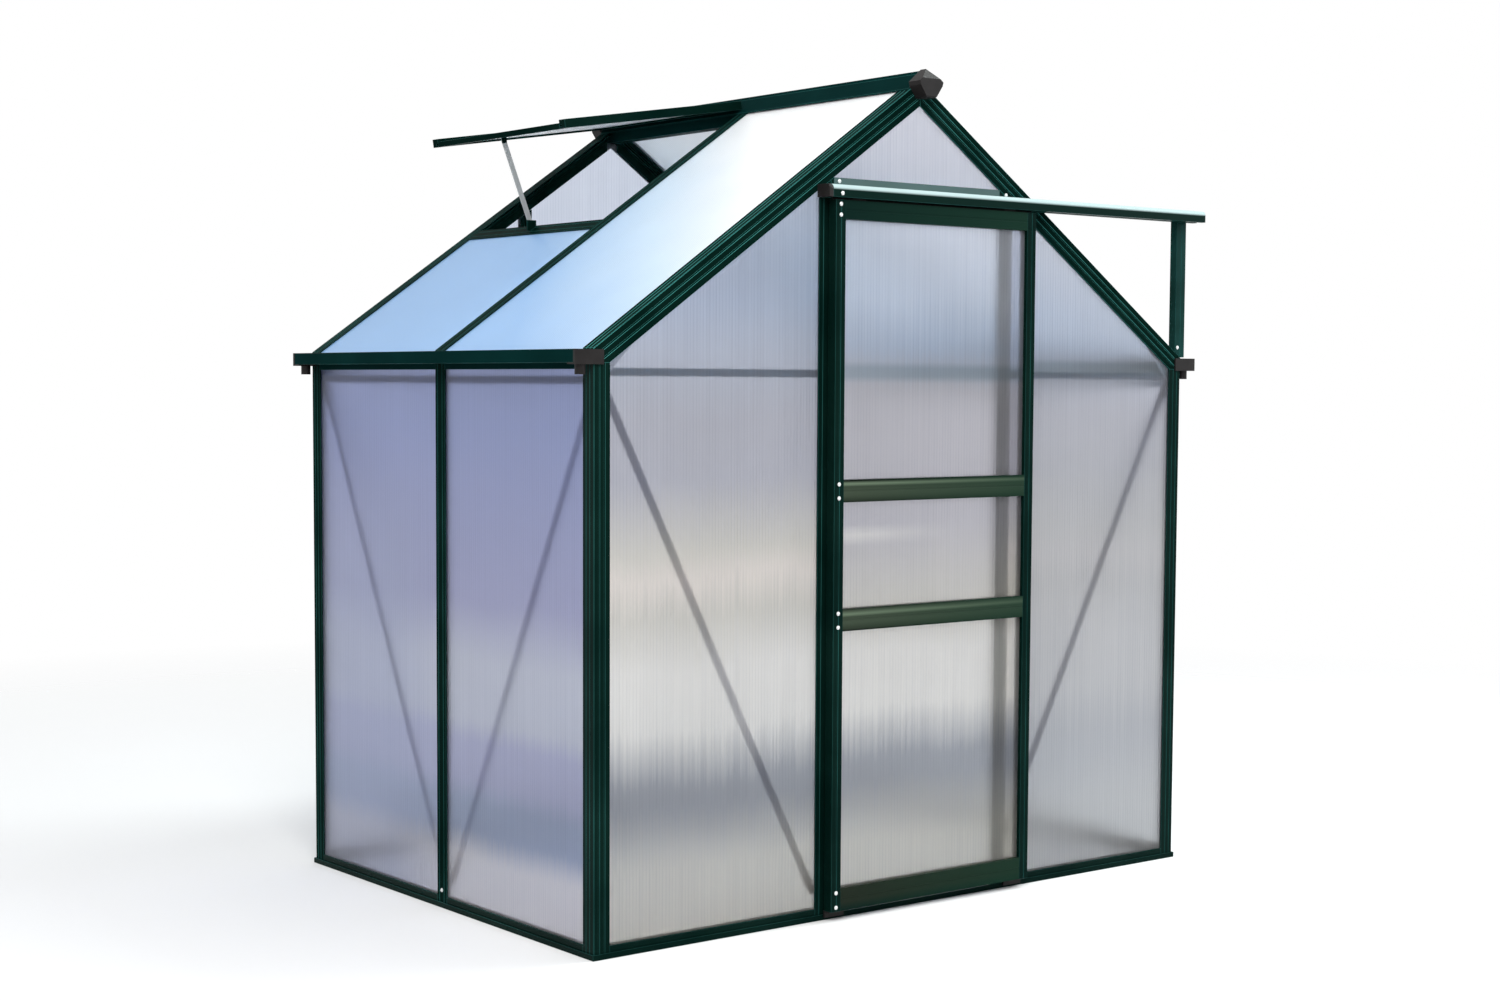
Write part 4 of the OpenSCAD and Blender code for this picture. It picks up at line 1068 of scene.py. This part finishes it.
class GREENHOUSE_OT_set_stage(bpy.types.Operator):
    """Sets the floor, the light and the camera"""

    bl_idname = "greenhouse.set_stage"
    bl_label = "Set the stage"

    def execute(self, context):
        stage = settings("stage")
        self.make_floor(stage)
        self.make_world(stage)
        for name, place, size, colour in LAMPS:
            self.make_lamp(name, place, size, getattr(stage, name + "_power"), colour)
        self.make_camera(stage)
        context.scene.view_settings.view_transform = "Standard"
        return {"FINISHED"}

    def make_floor(self, stage):
        """Round pale floor that fades into the white round it."""
        work = bmesh.new()
        bmesh.ops.create_circle(work, cap_ends=True, segments=stage.floor_sides, radius=stage.floor_radius)
        mesh = bpy.data.meshes.new("floor")
        work.to_mesh(mesh)
        work.free()
        floor = place_object("floor", mesh)
        floor.location.z = -0.3 * MM
        material, tree, shader = new_material("pale_floor")
        shader.inputs["Base Color"].default_value = (0.92, 0.92, 0.92, 1)
        shader.inputs["Roughness"].default_value = 0.9
        shader.inputs["Specular IOR Level"].default_value = 0.0
        length = add_node(tree, "ShaderNodeVectorMath", {0: object_point(tree)}, operation="LENGTH")
        fade = add_node(tree, "ShaderNodeMapRange", {
            "Value": length.outputs["Value"],
            "From Min": stage.floor_radius * 0.2, "From Max": stage.floor_radius * 0.8,
        })
        clear = add_node(tree, "ShaderNodeBsdfTransparent")
        mix = add_node(tree, "ShaderNodeMixShader", {
            "Fac": fade.outputs["Result"], 1: shader.outputs["BSDF"], 2: clear.outputs["BSDF"],
        })
        output = next(n for n in tree.nodes if n.type == "OUTPUT_MATERIAL")
        join(tree, mix.outputs["Shader"], output.inputs["Surface"])
        mesh.materials.append(material)

    def make_world(self, stage):
        """Even light, and plain white where the camera, gloss and glass look past the greenhouse."""
        world = bpy.data.worlds.new("studio")
        bpy.context.scene.world = world
        world.use_nodes = True
        tree = world.node_tree
        tree.nodes.clear()
        light = add_node(tree, "ShaderNodeBackground", {"Color": (0.94, 0.97, 1.0, 1), "Strength": stage.sky})
        white = add_node(tree, "ShaderNodeBackground", {"Color": (*WHITE, 1)})
        path = add_node(tree, "ShaderNodeLightPath")
        seen = path.outputs["Is Camera Ray"]
        for label in ("Is Glossy Ray", "Is Transmission Ray"):
            seen = calculate(tree, "MAXIMUM", seen, path.outputs[label])
        mix = add_node(tree, "ShaderNodeMixShader", {"Fac": seen, 1: light.outputs[0], 2: white.outputs[0]})
        add_node(tree, "ShaderNodeOutputWorld", {"Surface": mix.outputs[0]})

    def make_lamp(self, name, place, size, power, colour):
        """Area lamp that faces the middle of the greenhouse."""
        data = bpy.data.lights.new(name, "AREA")
        data.shape = "RECTANGLE"
        data.size, data.size_y = size
        data.energy = power
        data.color = colour
        lamp = place_object(name, data)
        lamp.location = place
        middle = (CAD_BOX[0] + CAD_BOX[1]) / 2
        lamp.rotation_euler = (middle - Vector(place)).to_track_quat("-Z", "Y").to_euler()

    def make_camera(self, stage):
        """Camera at the stage's place, turned by its azimuth, elevation and roll."""
        data = bpy.data.cameras.new("camera")
        data.lens = stage.lens
        data.sensor_width = 36
        data.shift_y = stage.rise
        data.clip_end = 200
        camera = place_object("camera", data)
        turn, fall = math.radians(stage.azimuth), math.radians(stage.elevation)
        back = Vector((math.sin(turn) * math.cos(fall), -math.cos(turn) * math.cos(fall), math.sin(fall)))
        camera.location = stage.camera_place
        camera.rotation_mode = "QUATERNION"
        rolled = Quaternion((0, 0, 1), math.radians(stage.roll))
        camera.rotation_quaternion = (-back).to_track_quat("-Z", "Y") @ rolled
        bpy.context.scene.camera = camera


class GREENHOUSE_PT_sidebar(bpy.types.Panel):
    """Lists the steps that dress the greenhouse"""

    bl_label = "Greenhouse"
    bl_idname = "GREENHOUSE_PT_sidebar"
    bl_space_type = "VIEW_3D"
    bl_region_type = "UI"
    bl_category = "Greenhouse"

    def draw(self, context):
        for operator in OPERATORS:
            self.layout.operator(operator.bl_idname)


SETTINGS = {
    "finish": FinishSettings, "tint": TintSettings, "sheet": SheetSettings, "bolt": BoltSettings,
    "stage": StageSettings,
}
OPERATORS = (
    GREENHOUSE_OT_paint_frame, GREENHOUSE_OT_hang_sheets, GREENHOUSE_OT_fit_bolts, GREENHOUSE_OT_seal_door,
    GREENHOUSE_OT_set_stage,
)


def register():
    for group in SETTINGS.values():
        bpy.utils.register_class(group)
    for name, group in SETTINGS.items():
        setattr(bpy.types.Scene, "greenhouse_" + name, PointerProperty(type=group))
    for operator in OPERATORS:
        bpy.utils.register_class(operator)
    bpy.utils.register_class(GREENHOUSE_PT_sidebar)


def unregister():
    bpy.utils.unregister_class(GREENHOUSE_PT_sidebar)
    for operator in reversed(OPERATORS):
        bpy.utils.unregister_class(operator)
    for name, group in SETTINGS.items():
        delattr(bpy.types.Scene, "greenhouse_" + name)
        bpy.utils.unregister_class(group)


def main():
    register()
    bpy.ops.greenhouse.paint_frame()
    bpy.ops.greenhouse.hang_sheets()
    bpy.ops.greenhouse.fit_bolts()
    bpy.ops.greenhouse.seal_door()
    bpy.ops.greenhouse.set_stage()


if __name__ == "__main__":
    main()
